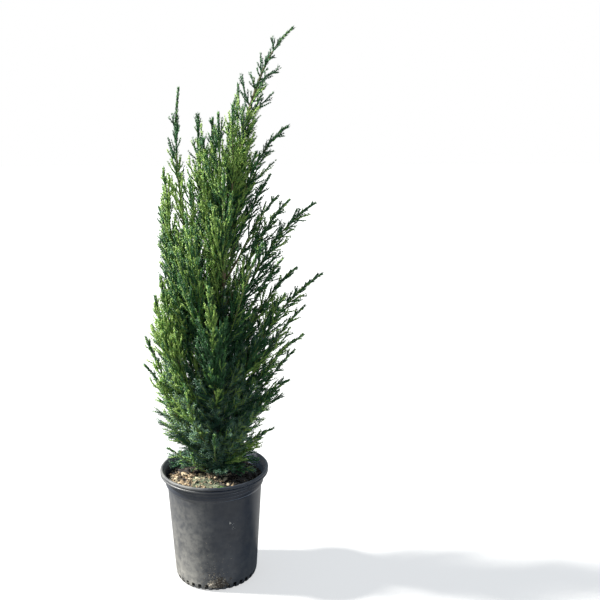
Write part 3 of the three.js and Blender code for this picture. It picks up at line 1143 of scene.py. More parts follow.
        # The chance part is random tone; the rest adds painted light and shade.
        chance = self.chance_light * rng.random(len(bases))
        light = self.painted_outer_light * outer + by_side + chance + by_height + liking
        step = np.digitize(light, self.tone_steps)
        chosen = np.where(young, np.array(self.young_tones)[step], np.array(self.old_tones)[step])
        return np.array([TONES.index(tone) for tone in chosen])

    def out_of_gaps(self, sprays: Axes, rng: np.random.Generator) -> Axes:
        """Leave out some sprays where the sky shows through.

        Args:
            sprays: All the sprays.
            rng: Where the differences come from.

        Returns:
            The sprays that stay.
        """
        stays = np.ones(len(sprays.points), bool)
        middle = sprays.points[:, 2]
        for x, z, half_width, half_height, share in self.sky_gaps:
            near = ((middle[:, 0] - x) / half_width) ** 2 + ((middle[:, 2] - z) / half_height) ** 2 < 1
            stays &= ~(near & (rng.random(len(stays)) < share))
        return sprays.only(stays)

    @staticmethod
    def bent(start: np.ndarray, elbow: np.ndarray, end: np.ndarray) -> np.ndarray:
        """Return five points on a curve that sets out towards an elbow."""
        share = np.linspace(0, 1, 5)[:, None]
        return start * (1 - share) ** 2 + elbow * 2 * share * (1 - share) + end * share**2

    def spread(
        self, base: np.ndarray, along: np.ndarray, reach: np.ndarray, angle: np.ndarray
    ) -> np.ndarray:
        """Curve a spray up and out from each base, turned round its bearer by the golden angle.

        Args:
            base: Where each leaves its bearer.
            along: The bearer's direction there.
            reach: How far each stands out.
            angle: How many degrees each leans out.

        Returns:
            Five points of each; those that find no room have no length.
        """
        bearing = np.radians(np.arange(len(base)) * self.crown.golden_angle)
        level = np.array([1, 0.3, 0])
        across = unit(level - along * (along @ level)[:, None])
        side = np.cross(along, across)
        out = towards(across, side, bearing)
        lead = 1 / np.tan(np.radians(angle))
        for _ in range(self.tries):
            tips = base + out * reach[:, None] + along * (reach * lead)[:, None]
            outside = ~self.crown.has_room(tips)
            reach = np.where(outside, reach * self.drawn_in, reach)
        reach = np.where(outside, 0.0, reach)[:, None]
        tips = base + out * reach + along * reach * lead[:, None]
        outward, upward = self.elbow
        elbow = base + out * reach * outward + along * reach * upward * lead[:, None]
        return self.bent(base[:, None], elbow[:, None], tips[:, None])

    def habit(self, shoot: Shoot, steps: Span) -> Habit:
        """Fit sprays to their shoot: open on the leader, short on spires, close on the fan at the right.

        Args:
            shoot: What bears them.
            steps: How far apart they stand at its foot and its tip.

        Returns:
            How the shoot holds them.
        """
        tip = shoot.line[-1]
        furthest = min(max(self.reach_share * shoot.way.length, self.shortest), self.longest)
        apart = sum(steps) / 2 * np.interp(tip[2], self.tip_heights, self.looseness)
        if shoot.name == "leader":
            reach = furthest * self.leader_reach
            return Habit(apart * self.leader_closeness, reach, self.leader_openness, self.leader_light)
        way_out = shoot.way.along(np.array([1.0]))[0]
        leaning = math.degrees(math.acos(way_out[2]))
        opened = float(np.interp(leaning, self.leaning, self.openness))
        fanned = float(np.interp(leaning, self.leaning, (0.0, 1.0))) if way_out[0] > 0 else 0.0
        thinned = np.interp(tip[2], self.slender, (1.0, self.slenderness))
        furthest *= mix(float(thinned), 1.0, fanned)
        if tip[2] > self.slender[0] and tip[0] > self.bushy_from:
            apart *= self.bushiness
            furthest *= self.bush_reach
        apart *= mix(1.0, self.fan_closeness, fanned)
        return Habit(apart, furthest, opened, self.fan_shade * fanned)

    def sprays_of(self, shoot: Shoot, long: bool) -> Axes:
        """Grow a shoot's long or short sprays.

        Args:
            shoot: What bears them.
            long: True for the long ones, which bear twigs.

        Returns:
            The sprays, as bent axes.
        """
        rng = np.random.default_rng((self.seed, shoot.seed, 1 if long else 2))
        steps = self.long_steps if long else self.short_steps
        stretch = self.long_spray if long else self.short_spray
        habit = self.habit(shoot, steps)
        length = shoot.way.length
        first = self.bough_share if shoot.bough else self.crown.bare_share
        count = int((1 - first) * length / habit.apart)
        even = (np.arange(count) + rng.uniform(0.1, 0.9, count)) / count
        leafy = even * (2 * steps[0] + (steps[1] - steps[0]) * even) / sum(steps)
        shares = first + (1 - first) * leafy * (1 - self.tip_room / length)
        base = shoot.way.at(shares)
        young = rng.random(count) < np.interp(base[:, 2], self.young_below, self.young_shares)
        opened = habit.opened if long else max(habit.opened, self.short_openness)
        angle = np.where(young, self.young_openness, opened) + rng.normal(0, self.angle_spread, count)
        reach = habit.furthest * self.outline(leafy) * rng.uniform(*stretch, count)
        room = self.room_share * (1 - shares) * length + self.tip_room
        reach = np.minimum(reach, room * np.tan(np.radians(angle)))
        points = self.spread(base, shoot.way.along(shares), reach, angle)
        tones = self.tones_at(base, young, rng.normal(habit.liking, self.liking_spread), rng)
        return self.out_of_gaps(self.grown(points, tones, young), rng)

    def core(self) -> Axes:
        """Grow the sprays that stand on the trunk itself, spreading low down and rising above.

        Returns:
            The sprays, as bent axes.
        """
        rng = np.random.default_rng((self.seed, 98))
        trunk = Way(bezier(self.crown.leader, np.linspace(0, self.crown.trunk_share, 201)))
        even = (np.arange(self.core_sprays) + rng.random(self.core_sprays)) / self.core_sprays
        shares = self.core_from + self.core_span * even**self.core_crowding
        angle = np.interp(shares, (0.0, self.core_opened_by), self.core_openness)
        angle = angle + rng.normal(0, self.core_angle_spread, len(shares))
        reach = np.interp(shares, (0.0, 1.0), self.core_reach) * rng.uniform(*self.long_spray, len(shares))
        base = trunk.at(shares)
        young = rng.random(len(shares)) < np.interp(base[:, 2], self.young_below, self.core_young_shares)
        points = self.spread(base, trunk.along(shares), reach, angle)
        tones = self.tones_at(base, young, self.core_light, rng)
        return self.out_of_gaps(self.grown(points, tones, young), rng)

    def lying(self) -> Axes:
        """Set the single sprays that reach out from the trunk's foot, most of them low over the mix.

        Returns:
            The sprays, as bent axes.
        """
        rng = np.random.default_rng((self.seed, 97))
        parts = []
        for bearing, reach, rise, _ in self.low_sprays:
            root = self.crown.leader_at(SOIL_LEVEL + self.low_foot + rng.uniform(0, self.low_foot))
            turn = math.radians(bearing)
            out = np.array([math.cos(turn), math.sin(turn), 0.0])
            start = root + out * (self.crown.foot_radius - 1)
            outward, upward = self.low_elbow
            elbow = start + out * reach * outward + UP * rise * upward
            parts.append(self.bent(start, elbow, start + out * reach + UP * rise))
        tones = np.array([TONES.index(row[-1]) for row in self.low_sprays])
        return self.grown(np.array(parts), tones, tones >= TONES.index(Tone.TEAL))

    def grown(self, points: np.ndarray, tones: np.ndarray, young: np.ndarray) -> Axes:
        """Return sprays as axes, without the stunted ones."""
        made = Axes(points, np.full(len(points), self.spray_radius), tones, young, self.spray_bare)
        return made.only(made.lengths() > self.least_spray)

    def twigs_on(self, sprays: Axes, rng: np.random.Generator) -> Axes:
        """Grow straight twigs on sprays.

        Args:
            sprays: The bent axes that bear them.
            rng: Where the differences come from.

        Returns:
            The twigs.
        """
        lengths = sprays.lengths()
        counts = np.maximum(0, ((lengths - self.twig_from) / self.twig_spacing).astype(int))
        owner, number = numbered(counts)
        jitter = rng.uniform(-self.twig_jitter, self.twig_jitter, len(owner))
        at = (self.twig_from + number * self.twig_spacing + jitter) / lengths[owner]
        foot, along, across, side = sprays.places(owner, at)
        out = towards(across, side, number * math.radians(self.crown.golden_angle) + owner * self.twig_turn)
        lean = np.radians(self.twig_angle + rng.normal(0, self.twig_angle_spread, len(owner)))
        size = self.twig_share * lengths[owner] * (1 - at) + self.twig_lengths[0]
        size = np.clip(size * rng.uniform(*self.twig_stretch, len(owner)), *self.twig_lengths)
        tip = foot + towards(along, out, lean) * size[:, None]
        waist = foot + (tip - foot) * self.twig_waist + out * (self.twig_bow * size)[:, None]
        drawn = rng.random(len(owner))
        plain = sprays.tones[owner]
        tones = np.where(drawn < self.darker_twigs, DARKER[plain], plain)
        tones = np.where(drawn > 1 - self.lighter_twigs - self.lighter_outward * at, LIGHTER[plain], tones)
        points = np.stack([foot, waist, tip], 1)
        made = Axes(points, np.ones(len(owner)), tones, sprays.young[owner], self.twig_bare)
        away = np.hypot(tip[:, 0], tip[:, 1])
        return made.only(tip[:, 2] > np.where(away > self.over_rim_from, self.over_rim, self.over_mix))

    def stems(self, first: float, thickness: float) -> Axes:
        """Return the shoots' own stems.

        Args:
            first: The share of their length from which they are taken.
            thickness: What their radius is multiplied by.

        Returns:
            The stems, as axes that bear no young needles.
        """
        points = np.stack([shoot.way.at(np.linspace(first, 1.0, 25)) for shoot in self.crown.shoots])
        radii = np.array([shoot.radius for shoot in self.crown.shoots]) * thickness
        radii[0] *= self.leader_stem
        tones = np.where(np.arange(len(points)) % 3 == 0, TONES.index(Tone.LIME), TONES.index(Tone.FRESH))
        tones = np.where(points[:, -1, 2] > self.slender[0], TONES.index(Tone.MID), tones)
        return Axes(points, radii, tones, np.zeros(len(points), bool), 0.0, self.stem_taper)

    def needles_on(
        self, kinds: tuple[Axes, ...], rng: np.random.Generator
    ) -> tuple[np.ndarray, np.ndarray]:
        """Set needles on all axes, and thicker ones on the shoots' tips.

        Args:
            kinds: What bears them.
            rng: Where the differences come from.

        Returns:
            Four corners for each needle, and the number of each one's green.
        """
        blades, greens = [], []
        for axes in kinds:
            borne = ((self.old_needle, False), (self.twiglet, False), (self.young_needle, True))
            for kind, young in borne:
                wanted = axes.young == young
                if wanted.any():
                    made, tones = kind.on(axes.only(wanted), rng)
                    blades.append(made)
                    greens.append(tones)
        made, tones = self.tip_twiglet.on(self.stems(self.tips_from, self.tip_thickness), rng)
        blades.append(made)
        greens.append(rng.choice(self.tip_tones, len(tones)))
        return np.concatenate(blades), np.concatenate(greens)

    def build(self) -> None:
        """Grow everything, and make a piece of needles for each green and two of twigs."""
        rng = np.random.default_rng(self.seed)
        shoots = self.crown.shoots
        on_trunk = [self.core(), self.lying()]
        long_ones = self.joined(on_trunk + [self.sprays_of(shoot, True) for shoot in shoots])
        short_ones = self.joined([self.sprays_of(shoot, False) for shoot in shoots])
        short_ones.points = short_ones.points[:, [0, 3, 4]]
        twigs = self.twigs_on(long_ones, rng)
        kinds = (long_ones, short_ones, twigs, self.stems(self.green_from, self.green_thickness))
        counts = [len(axes.radii) for axes in kinds[:3]]
        LOG.info("%d long sprays, %d short ones, %d twigs", *counts)
        blades, greens = self.needles_on(kinds, rng)
        nodes = [f"foliage_{shoot.name}" for shoot in shoots]
        for number, tone in enumerate(TONES):
            chosen = blades[greens == number]
            faces = NEEDLE_FACES[None] + (np.arange(len(chosen)) * 4)[:, None, None]
            piece = mesh_piece(f"needles_{tone.name.lower()}", chosen.reshape(-1, 3), faces.reshape(-1, 3))
            dress(piece, self.green(tone).material(), Slot.NEEDLES, *nodes)
        for name, dealt in (("shaded", self.shaded_tones), ("sunlit", self.sunlit_tones)):
            wanted = [TONES.index(tone) for tone in dealt]
            parts = [tapering_stems(axes.only(np.isin(axes.tones, wanted)), 3) for axes in kinds]
            piece = mesh_piece(f"twigs_{name}", *join_meshes(parts))
            dress(piece, self.green(dealt[1]).material(), Slot.NEEDLES)
        piece = mesh_piece("shoot_stems", *tapering_stems(self.stems(0.0, self.bark_thickness), 6))
        make_active(piece)
        bpy.ops.object.shade_smooth()
        dress(piece, self.young_bark.material(), Slot.BARK)

    @staticmethod
    def green(tone: Tone) -> Finish:
        """Return the waxy finish of one green."""
        lighter = tuple(min(1.0, 1.35 * part) for part in tone.value)
        return Finish(f"green_{tone.name.lower()}", tone.value, lighter, 260, 0.42, specular=0.44)

    @staticmethod
    def joined(parts: list[Axes]) -> Axes:
        """Join axes of one kind."""
        columns = zip(*((part.points, part.radii, part.tones, part.young) for part in parts))
        return Axes(*(np.concatenate(column) for column in columns), parts[0].bare)


@dataclass
class Wood:
    """The trunk and the boughs with the relief of thin peeling bark, in millimetres.

    Args:
        crown: The trunk and shoots that it covers.
        bark: Its finish.
        relief: How far the ridges stand out, in metres.
        ridges: How fine they are across and along the trunk, per metre.
        sunk: How far the trunk goes on below the mix's level.
        fine_below: The height below which the trunk's points lie closer.
        inset: How much thinner than the solid it is, before the relief.
        bough_share: The share of a long shoot that is its bough.
        bough_taper: What is left of the bough's radius at its end.
    """

    crown: Crown
    bark: Finish = Finish(
        "peeling_bark", (0.17, 0.105, 0.065), (0.30, 0.20, 0.135), 220, 0.85, 900, 0.0006, (1, 1, 0.16)
    )
    relief: float = 0.0005
    ridges: Span = (700.0, 70.0)
    sunk: float = 4.0
    fine_below: float = 200.0
    inset: float = 0.2
    bough_share: float = 0.22
    bough_taper: float = 0.85

    def limb(self, name: str, points: np.ndarray, radii: np.ndarray) -> bpy.types.Object:
        """Make a round limb through points.

        Args:
            name: The piece's name.
            points: Its centre line in millimetres.
            radii: Its radius at each point, in millimetres.

        Returns:
            A closed mesh with a ridged surface.
        """
        line = bpy.data.curves.new(name, "CURVE")
        line.dimensions = "3D"
        line.bevel_depth = MM
        line.bevel_resolution = 6
        line.use_fill_caps = True
        spline = line.splines.new("POLY")
        spline.points.add(len(points) - 1)
        for spot, point, radius in zip(spline.points, points, radii):
            spot.co = (*(point * MM), 1.0)
            spot.radius = radius
        make_active(added(name, line))
        bpy.ops.object.convert(target="MESH")
        made = bpy.context.view_layer.objects.active
        cleaned(made, 0.01 * MM)
        level, upright = self.ridges
        for corner in made.data.vertices:
            place = Vector((corner.co.x * level, corner.co.y * level, corner.co.z * upright))
            corner.co += corner.normal * (noise.fractal(place, 0.8, 2.0, 3) * self.relief)
        bpy.ops.object.shade_smooth()
        return made

    def build(self) -> None:
        """Make the trunk, and the boughs that long shoots begin with."""
        fine = np.arange(SOIL_LEVEL - self.sunk, self.fine_below, 2)
        heights = np.concatenate([fine, np.arange(self.fine_below, self.crown.top, 4)])
        points = np.array([self.crown.leader_at(max(height, SOIL_LEVEL)) for height in heights])
        points[:, 2] = heights
        trunk = self.limb("trunk_bark", points, self.crown.trunk_radius_at(heights) - self.inset)
        material = self.bark.material()
        dress(trunk, material, Slot.BARK, "trunk")
        ends = (0, self.bough_share)
        shares = np.linspace(*ends, 24)
        for shoot in self.crown.shoots:
            if shoot.bough:
                radii = np.interp(shares, ends, (shoot.radius, shoot.radius * self.bough_taper))
                bough = self.limb(f"bough_bark_{shoot.name}", shoot.way.at(shares), radii)
                dress(bough, material, Slot.BARK, f"bough_{shoot.name}")


@dataclass
class Pot:
    """A thin black nursery pot with a rolled rim and drain slots round its foot, in millimetres.

    Args:
        foot: The outline's points round the foot: how far out from the wall's foot, and the height.
        wall_heights: Where the outline has points on the plain wall.
        collar: The points of the ridged collar: how far out from it, and the height.
        under_rim: The points between collar and rim: how far out from the collar's top, and the height.
        bead: The points of the rolled rim: how far out from its edge, and how far up from its top.
        dust_by_height: How dusty the plastic is, in rows of the share of the height and the amount.
        painted_light_side: The x, in metres, between which the dust thins out from the lit left side, as
            painted light.
        dust_patches: Patches in the dust: each noise's scale per metre, and the values where it sets in.
        painted_inside_light_side: The x, in metres, between which the painted light on the inside of the
            rim sets in.
        pale_mud: Crumbs of dried mud: the middle's bearing and height, the spread and the greatest crumb.
        dark_mud: The same for damp mud.
        splash_spots: The same for pale splashes.
    """

    rim_radius: float = 82.5
    base_radius: float = 62.6
    shoulder_radius: float = 71.8
    shoulder_height: float = 149.0
    collar_top_radius: float = 76.0
    wall: float = 1.6
    floor: float = 3.0
    foot: tuple = ((-12, 0.6), (-8.5, 0.0), (-4.6, 0.1), (-2.6, 1.2), (-1.4, 2.9))
    wall_heights: tuple[float, ...] = (11.0, 50.0, 100.0, 146.0, 148.4)
    collar: tuple = (
        (-0.6, 151.6), (0.1, 153.2), (0.1, 156.0), (0.8, 156.7), (0.8, 157.5), (0.3, 158.4),
        (0.5, 161.2), (1.3, 161.9), (1.3, 162.7), (0.8, 163.6),
    )
    under_rim: tuple = ((0.0, 165.6), (1.4, 168.6), (2.9, 170.2))
    bead: tuple = (
        (-2.2, -8.6), (-0.9, -8.3), (-0.3, -7.4), (-0.4, -6.2), (-1.2, -5.4), (-2.3, -5.0), (-1.2, -4.6),
        (-0.3, -3.9), (0.0, -2.8), (-0.2, -1.4), (-1.0, -0.4), (-2.2, 0.0), (-3.4, -0.3), (-4.3, -1.4),
        (-4.9, -3.0),
    )
    sides: int = 144
    slots: int = 36
    slot_width: float = 5.5
    slot_height: float = 11.0
    slot_depth: float = 11.0
    slot_corner: float = 1.2
    smooth_below: float = 40.0
    plain: Finish = Finish(
        "dusty_black_plastic", (0.010, 0.015, 0.027), (0.019, 0.027, 0.044), 9, 0.4, specular=0.4
    )
    dust_by_height: tuple = (
        (0.0, 0.8), (0.2, 0.45), (0.5, 0.32), (0.84, 0.2), (0.87, 0.04), (0.94, 0.13), (1.0, 0.36),
    )
    # Painted light and shade: the pale dust is laid thick on the lit left side and thin on the shaded
    # right.
    painted_light_side: Span = (-0.026, 0.004)
    painted_light_side_share: Span = (1.4, 0.32)
    dust_patches: tuple = ((30.0, 0.32, 0.6), (120.0, 0.3, 0.6))
    least_dust: float = 0.5
    dust_colour: Colour = (0.325, 0.315, 0.285)
    dust_roughness: Span = (0.30, 0.95)
    facing_in: float = -0.02
    # Painted light: the inside of the wall on the right is painted paler and bluer, as if lit.
    painted_inside_light_side: Span = (0.0, 0.05)
    painted_inside_light_colour: Colour = (0.19, 0.23, 0.30)
    pale_mud: tuple = ((266, 10, 4, 3.6), (270, 17, 7, 2.4), (262, 32, 12, 1.1), (238, 60, 30, 0.8))
    dark_mud: tuple = ((272, 11, 5, 4.2), (277, 15, 6, 2.2), (264, 24, 12, 1.1))
    splash_spots: tuple = ((287, 112, 1.6, 1.6), (290, 109, 3.5, 0.8))
    mud_heights: Span = (8.5, 140.0)
    stands_off: float = 0.05
    seed: int = 12

    def wall_at(self, height: float) -> float:
        """Return the outer radius of the wall at a height."""
        return mix(self.base_radius, self.shoulder_radius, height / self.shoulder_height)

    def profile(self) -> list[Span]:
        """Return the outline from the underside's middle, up the outside and down the inside.

        Returns:
            Radii and heights, in order.
        """
        outside = [(0.0, 0.6)] + [(self.base_radius + out, z) for out, z in self.foot]
        outside += [(self.wall_at(6) - 0.5, 6.0)] + [(self.wall_at(z), z) for z in self.wall_heights]
        outside += [(self.shoulder_radius + 0.9, 149.6)]
        outside += [(COLLAR_RADIUS + out, z) for out, z in self.collar]
        outside += [(self.collar_top_radius + out, z) for out, z in self.under_rim]
        bead = [(self.rim_radius + out, POT_HEIGHT + up) for out, up in self.bead]
        inside = [
            (self.collar_top_radius - self.wall + 0.9, 171.0),
            (self.collar_top_radius - self.wall, 166.0),
            (COLLAR_RADIUS - self.wall, 154.0),
            (self.shoulder_radius - self.wall, self.shoulder_height),
            (self.wall_at(50) - self.wall, 50.0),
            (self.wall_at(6) - self.wall, 6.0),
            (self.wall_at(3) - self.wall - 2.4, self.floor),
            (0.0, self.floor),
        ]
        return outside + [(self.rim_radius - 2.5, 169.4)] + bead + inside

    def slot_cutter(self) -> bpy.types.Object:
        """Return rounded blocks set in a ring round the foot, as one object.

        Returns:
            The object that cuts the drain slots.
        """
        deselect_all()
        bpy.ops.mesh.primitive_cube_add(size=1, location=((self.base_radius - 0.2) * MM, 0, 0))
        cutter = bpy.context.view_layer.objects.active
        cutter.scale = (self.slot_depth * MM, self.slot_width * MM, 2 * self.slot_height * MM)
        bpy.ops.object.transform_apply(location=True, rotation=False, scale=True)
        bevel = cutter.modifiers.new("corners", "BEVEL")
        bevel.width = self.slot_corner * MM
        bevel.segments = 3
        bpy.ops.object.modifier_apply(modifier=bevel.name)
        ring = bmesh.new()
        for k in range(self.slots):
            turn = 2 * math.pi * (k + 0.5) / self.slots
            before = len(ring.verts)
            ring.from_mesh(cutter.data)
            ring.verts.ensure_lookup_table()
            for corner in ring.verts[before:]:
                x, y = corner.co.x, corner.co.y
                corner.co.x = x * math.cos(turn) - y * math.sin(turn)
                corner.co.y = x * math.sin(turn) + y * math.cos(turn)
        ring.to_mesh(cutter.data)
        ring.free()
        return cutter

    def cut_slots(self, body: bpy.types.Object) -> None:
        """Cut the drain slots.

        Args:
            body: The pot.
        """
        cutter = self.slot_cutter()
        make_active(body)
        cut = body.modifiers.new("slots", "BOOLEAN")
        cut.operation = "DIFFERENCE"
        cut.object = cutter
        cut.solver = "EXACT"
        bpy.ops.object.modifier_apply(modifier=cut.name)
        bpy.data.objects.remove(cutter)

    def dust(self, nodes: Nodes, place: Socket, apart: Sockets) -> Socket:
        """Return how dusty the plastic is by height and in patches, with painted light: thicker on the lit
        left side.

        Args:
            nodes: The material's nodes.
            place: The object coordinates.
            apart: The same, as a socket for each axis.

        Returns:
            The share of dust, with painted light by side.
        """
        rise = nodes.ranged(apart["Z"], (0.0, POT_HEIGHT * MM))
        by_height = nodes.add("ValToRGB", {"Fac": rise})["Color"]
        stops = by_height.node.color_ramp.elements
        stops[0].position, stops[1].position = self.dust_by_height[0][0], self.dust_by_height[-1][0]
        for share, _ in self.dust_by_height[1:-1]:
            stops.new(share)
        for stop, (_, amount) in zip(stops, self.dust_by_height):
            stop.color = (amount, amount, amount, 1)
        # Painted light: more dust on the lit left, less on the shaded right.
        painted_side_light = nodes.ranged(apart["X"], self.painted_light_side, self.painted_light_side_share, interpolation_type="SMOOTHSTEP")
        dust_and_painted_light = nodes.product(by_height, painted_side_light)
        thin, thick = (self.least_dust,) * 3, (1.0, 1.0, 1.0)
        for scale, low, high in self.dust_patches:
            dust_and_painted_light = nodes.product(dust_and_painted_light, Finish.mottling(nodes, place, thin, thick, scale, (low, high)))
        return dust_and_painted_light

    def plastic(self) -> bpy.types.Material:
        """Make black plastic that is dustier down to the foot and paler on the lit left side as painted
        light, with painted light on the inside of the rim.

        Returns:
            The material.
        """
        made = self.plain.material()
        nodes = Nodes(made.node_tree)
        shader = made.node_tree.nodes["Principled BSDF"]
        plain = shader.inputs["Base Color"].links[0].from_socket
        surface = nodes.add("TexCoord", {})
        place = surface["Object"]
        apart = nodes.add("SeparateXYZ", {"Vector": place})
        dust_and_painted_light = self.dust(nodes, place, apart)
        dusty = nodes.blend(dust_and_painted_light, plain, (*self.dust_colour, 1))
        facing = {0: place, 1: surface["Normal"]}
        inward = nodes.add("VectorMath", facing, operation="DOT_PRODUCT")["Value"]
        inside = nodes.add("Math", {0: inward, 1: self.facing_in}, operation="LESS_THAN")["Value"]
        # Painted light on the inside of the wall, on the right side.
        painted_inside_light = nodes.product(inside, nodes.ranged(apart["X"], self.painted_inside_light_side))
        matt = nodes.ranged(dust_and_painted_light, (0.0, 1.0), self.dust_roughness)
        colour = nodes.blend(painted_inside_light, dusty, (*self.painted_inside_light_colour, 1))
        nodes.feed(shader, {"Base Color": colour, "Roughness": matt})
        return made

    def stuck_on(
        self, name: str, spots: tuple, count: int, finish: Finish, rng: np.random.Generator
    ) -> None:
        """Stick small flat crumbs to the wall.

        Args:
            name: The piece's name.
            spots: Middles as bearing in degrees, height, spread and the greatest crumb.
            count: How many lie round each.
            finish: Their finish.
            rng: Where the differences come from.
        """
        parts = []
        for bearing, height, spread, greatest in spots:
            z = np.clip(height + rng.normal(0, spread, count), *self.mud_heights)
            turn = np.radians(bearing) + rng.normal(0, spread, count) / self.base_radius
            sizes = rng.uniform(0.35, 1.0, (count, 3)) * (0.3, 1.0, 1.0) * greatest
            lumps = BLOCK[None] * sizes[:, None] * rng.uniform(0.5, 1.2, (count, 8, 3))
            out = self.wall_at(z) + self.stands_off
            level = turned_by(lumps[..., 0] + out[:, None], lumps[..., 1], turn)
            parts.append(np.concatenate([level, lumps[..., 2:] + z[:, None, None]], -1))
        dress(lump_piece(name, np.concatenate(parts)), finish.material(), Slot.MIX)

    def build(self) -> None:
        """Make the pot and dress it."""
        body = spun("nursery_pot", self.profile(), self.sides)
        self.cut_slots(body)
        make_active(body)
        bpy.ops.object.shade_smooth_by_angle(angle=math.radians(self.smooth_below))
        dress(body, self.plastic(), Slot.POT, "pot")
        rng = np.random.default_rng(self.seed)
        pale = Finish("dried_mud", (0.34, 0.31, 0.26), (0.20, 0.17, 0.13), 420, 0.95)
        dark = Finish("damp_mud", (0.045, 0.036, 0.028), (0.10, 0.08, 0.06), 420, 0.9)
        splash = Finish("dried_splash", (0.66, 0.66, 0.63), (0.50, 0.48, 0.44), 300, 0.8)
        self.stuck_on("pale_mud", self.pale_mud, 70, pale, rng)
        self.stuck_on("dark_mud", self.dark_mud, 70, dark, rng)
        self.stuck_on("pale_splashes", self.splash_spots, 7, splash, rng)


@dataclass
class PottingMix:
    """The bark mix in the pot, with chips, crumbs and moss on top, in millimetres.

    Args:
        below: The points of the bed's outline under its edge, as radii and heights.
        shades: The chips' and crumbs' name, two colours, share on the painted light patch, and share of the
            count.
        moss_cushions: The x, y and radius of each cushion.
        tufts: The same for brighter moss.
    """

    edge_drop: float = 5.0
    disc_radius: float = 14.0
    mound_at: Span = (-34.0, -22.0)
    mound_spread: float = 26.0
    edge_radius: float = 72.6
    below: tuple = ((72.6, 154.0), (72.6, 150.0), (69.6, 148.0), (60.6, 14.0), (52.0, 3.3), (0.0, 3.3))
    sides: int = 132
    rough_scale: float = 0.16
    rough_height: float = 1.5
    sunk: float = 0.8
    # Painted light and shade: pale chips gather on this front left patch, where light falls through the
    # crown, and dark ones lie round it in the crown's shade.
    painted_light_patch: Span = (-29.0, -30.0)
    painted_light_spread: float = 19.0
    lift: float = 0.3
    tilt: float = 0.38
    uneven: Span = (0.6, 1.25)
    chips: int = 210
    chip_sizes: tuple = ((4.0, 2.4, 1.1), (13.0, 6.5, 3.0))
    chip_inset: float = 6.0
    crumbs: int = 1000
    crumb_sizes: tuple = ((0.8, 0.6, 0.5), (2.8, 1.8, 1.4))
    crumb_inset: float = 2.0
    # The pale and tan chips are partly painted light, the dark ones partly painted shade.
    shades: tuple = (
        ("pale", (0.42, 0.34, 0.22), (0.60, 0.50, 0.35), 0.95, 0.6),
        ("tan", (0.22, 0.160, 0.095), (0.34, 0.25, 0.160), 0.9, 0.9),
        ("dark_shaded", (0.024, 0.021, 0.020), (0.062, 0.048, 0.038), 0.1, 1.6),
    )
    moss_blades: int = 8600
    moss_cushions: tuple = (
        (-24, -28, 9), (-13, -36, 11), (-4, -46, 10), (6, -56, 9), (-26, -42, 8), (14, -61, 7),
    )
    tuft_blades: int = 700
    tufts: tuple = ((11, -55.5, 5), (7, -52.5, 4))
    blade_lengths: Span = (2.8, 5.4)
    blade_lean: float = 0.9
    blade_radius: float = 0.42
    blade_sunk: float = 0.6
    seed: int = 31

    def height_at(self, x: np.ndarray, y: np.ndarray) -> np.ndarray:
        """Return the height of the mix's rough top at places.

        Args:
            x: How far right each place is.
            y: How far back each place is.

        Returns:
            The height of each.
        """
        away = np.hypot(x, y)
        edge = np.maximum(0, (away - self.disc_radius) / (COLLAR_RADIUS - self.disc_radius))
        mound = np.hypot(x - self.mound_at[0], y - self.mound_at[1]) / self.mound_spread
        return SOIL_LEVEL + MOUND_HEIGHT * np.exp(-(mound**2)) - self.edge_drop * edge**2

    def bed(self) -> bpy.types.Object:
        """Spin the bed, and roughen its top.

        Returns:
            The bed, as one closed piece.
        """
        outline = [(radius, SOIL_LEVEL) for radius in np.linspace(0, self.edge_radius, 46)]
        bed = spun("potting_mix", outline + list(self.below), self.sides)
        for corner in bed.data.vertices:
            if corner.co.z > (SOIL_LEVEL - 0.5) * MM:
                x, y = corner.co.x / MM, corner.co.y / MM
                place = Vector((x * self.rough_scale, y * self.rough_scale, 0.0))
                rough = noise.fractal(place, 0.7, 2.0, 4)
                corner.co.z = (float(self.height_at(x, y)) - self.sunk + self.rough_height * rough) * MM
        bpy.ops.object.shade_smooth()
        return bed

    def places(self, count: int, radius: float, gather: float, rng: np.random.Generator) -> np.ndarray:
        """Scatter places over the bed, with a share of them gathered on the painted light patch.

        Args:
            count: How many there are.
            radius: How far out they lie.
            gather: The share that lies on the painted light patch.
            rng: Where the differences come from.

        Returns:
            The x and y of each.
        """
        away = radius * np.sqrt(rng.random(count))
        bearing = rng.uniform(0, 2 * np.pi, count)
        even = np.stack([away * np.cos(bearing), away * np.sin(bearing)], -1)
        near = np.array(self.painted_light_patch) + rng.normal(0, self.painted_light_spread, (count, 2))
        near *= np.minimum(1, radius / np.hypot(near[:, 0], near[:, 1]))[:, None]
        return np.where((rng.random(count) < gather)[:, None], near, even).T

    def scattered(
        self, sizes: np.ndarray, rng: np.random.Generator, radius: float, gather: float
    ) -> np.ndarray:
        """Set irregular eight-cornered lumps on the bed.

        Args:
            sizes: Length, width and thickness of each.
            rng: Where the differences come from.
            radius: How far out they lie.
            gather: The share that lies on the painted light patch.

        Returns:
            Corners as lumps by eight by three.
        """
        count = len(sizes)
        x, y = self.places(count, radius, gather, rng)
        lumps = BLOCK[None] * sizes[:, None] * rng.uniform(*self.uneven, (count, 8, 3))
        turn = rng.uniform(0, 2 * np.pi, count)
        tilt = rng.normal(0, self.tilt, (count, 2))
        lumps[:, :, 2] += lumps[:, :, 0] * tilt[:, :1] + lumps[:, :, 1] * tilt[:, 1:]
        seat = np.stack([x, y, self.height_at(x, y) + self.lift * sizes[:, 2]], -1)
        level = turned_by(lumps[..., 0], lumps[..., 1], turn)
        return np.concatenate([level, lumps[..., 2:]], -1) + seat[:, None]

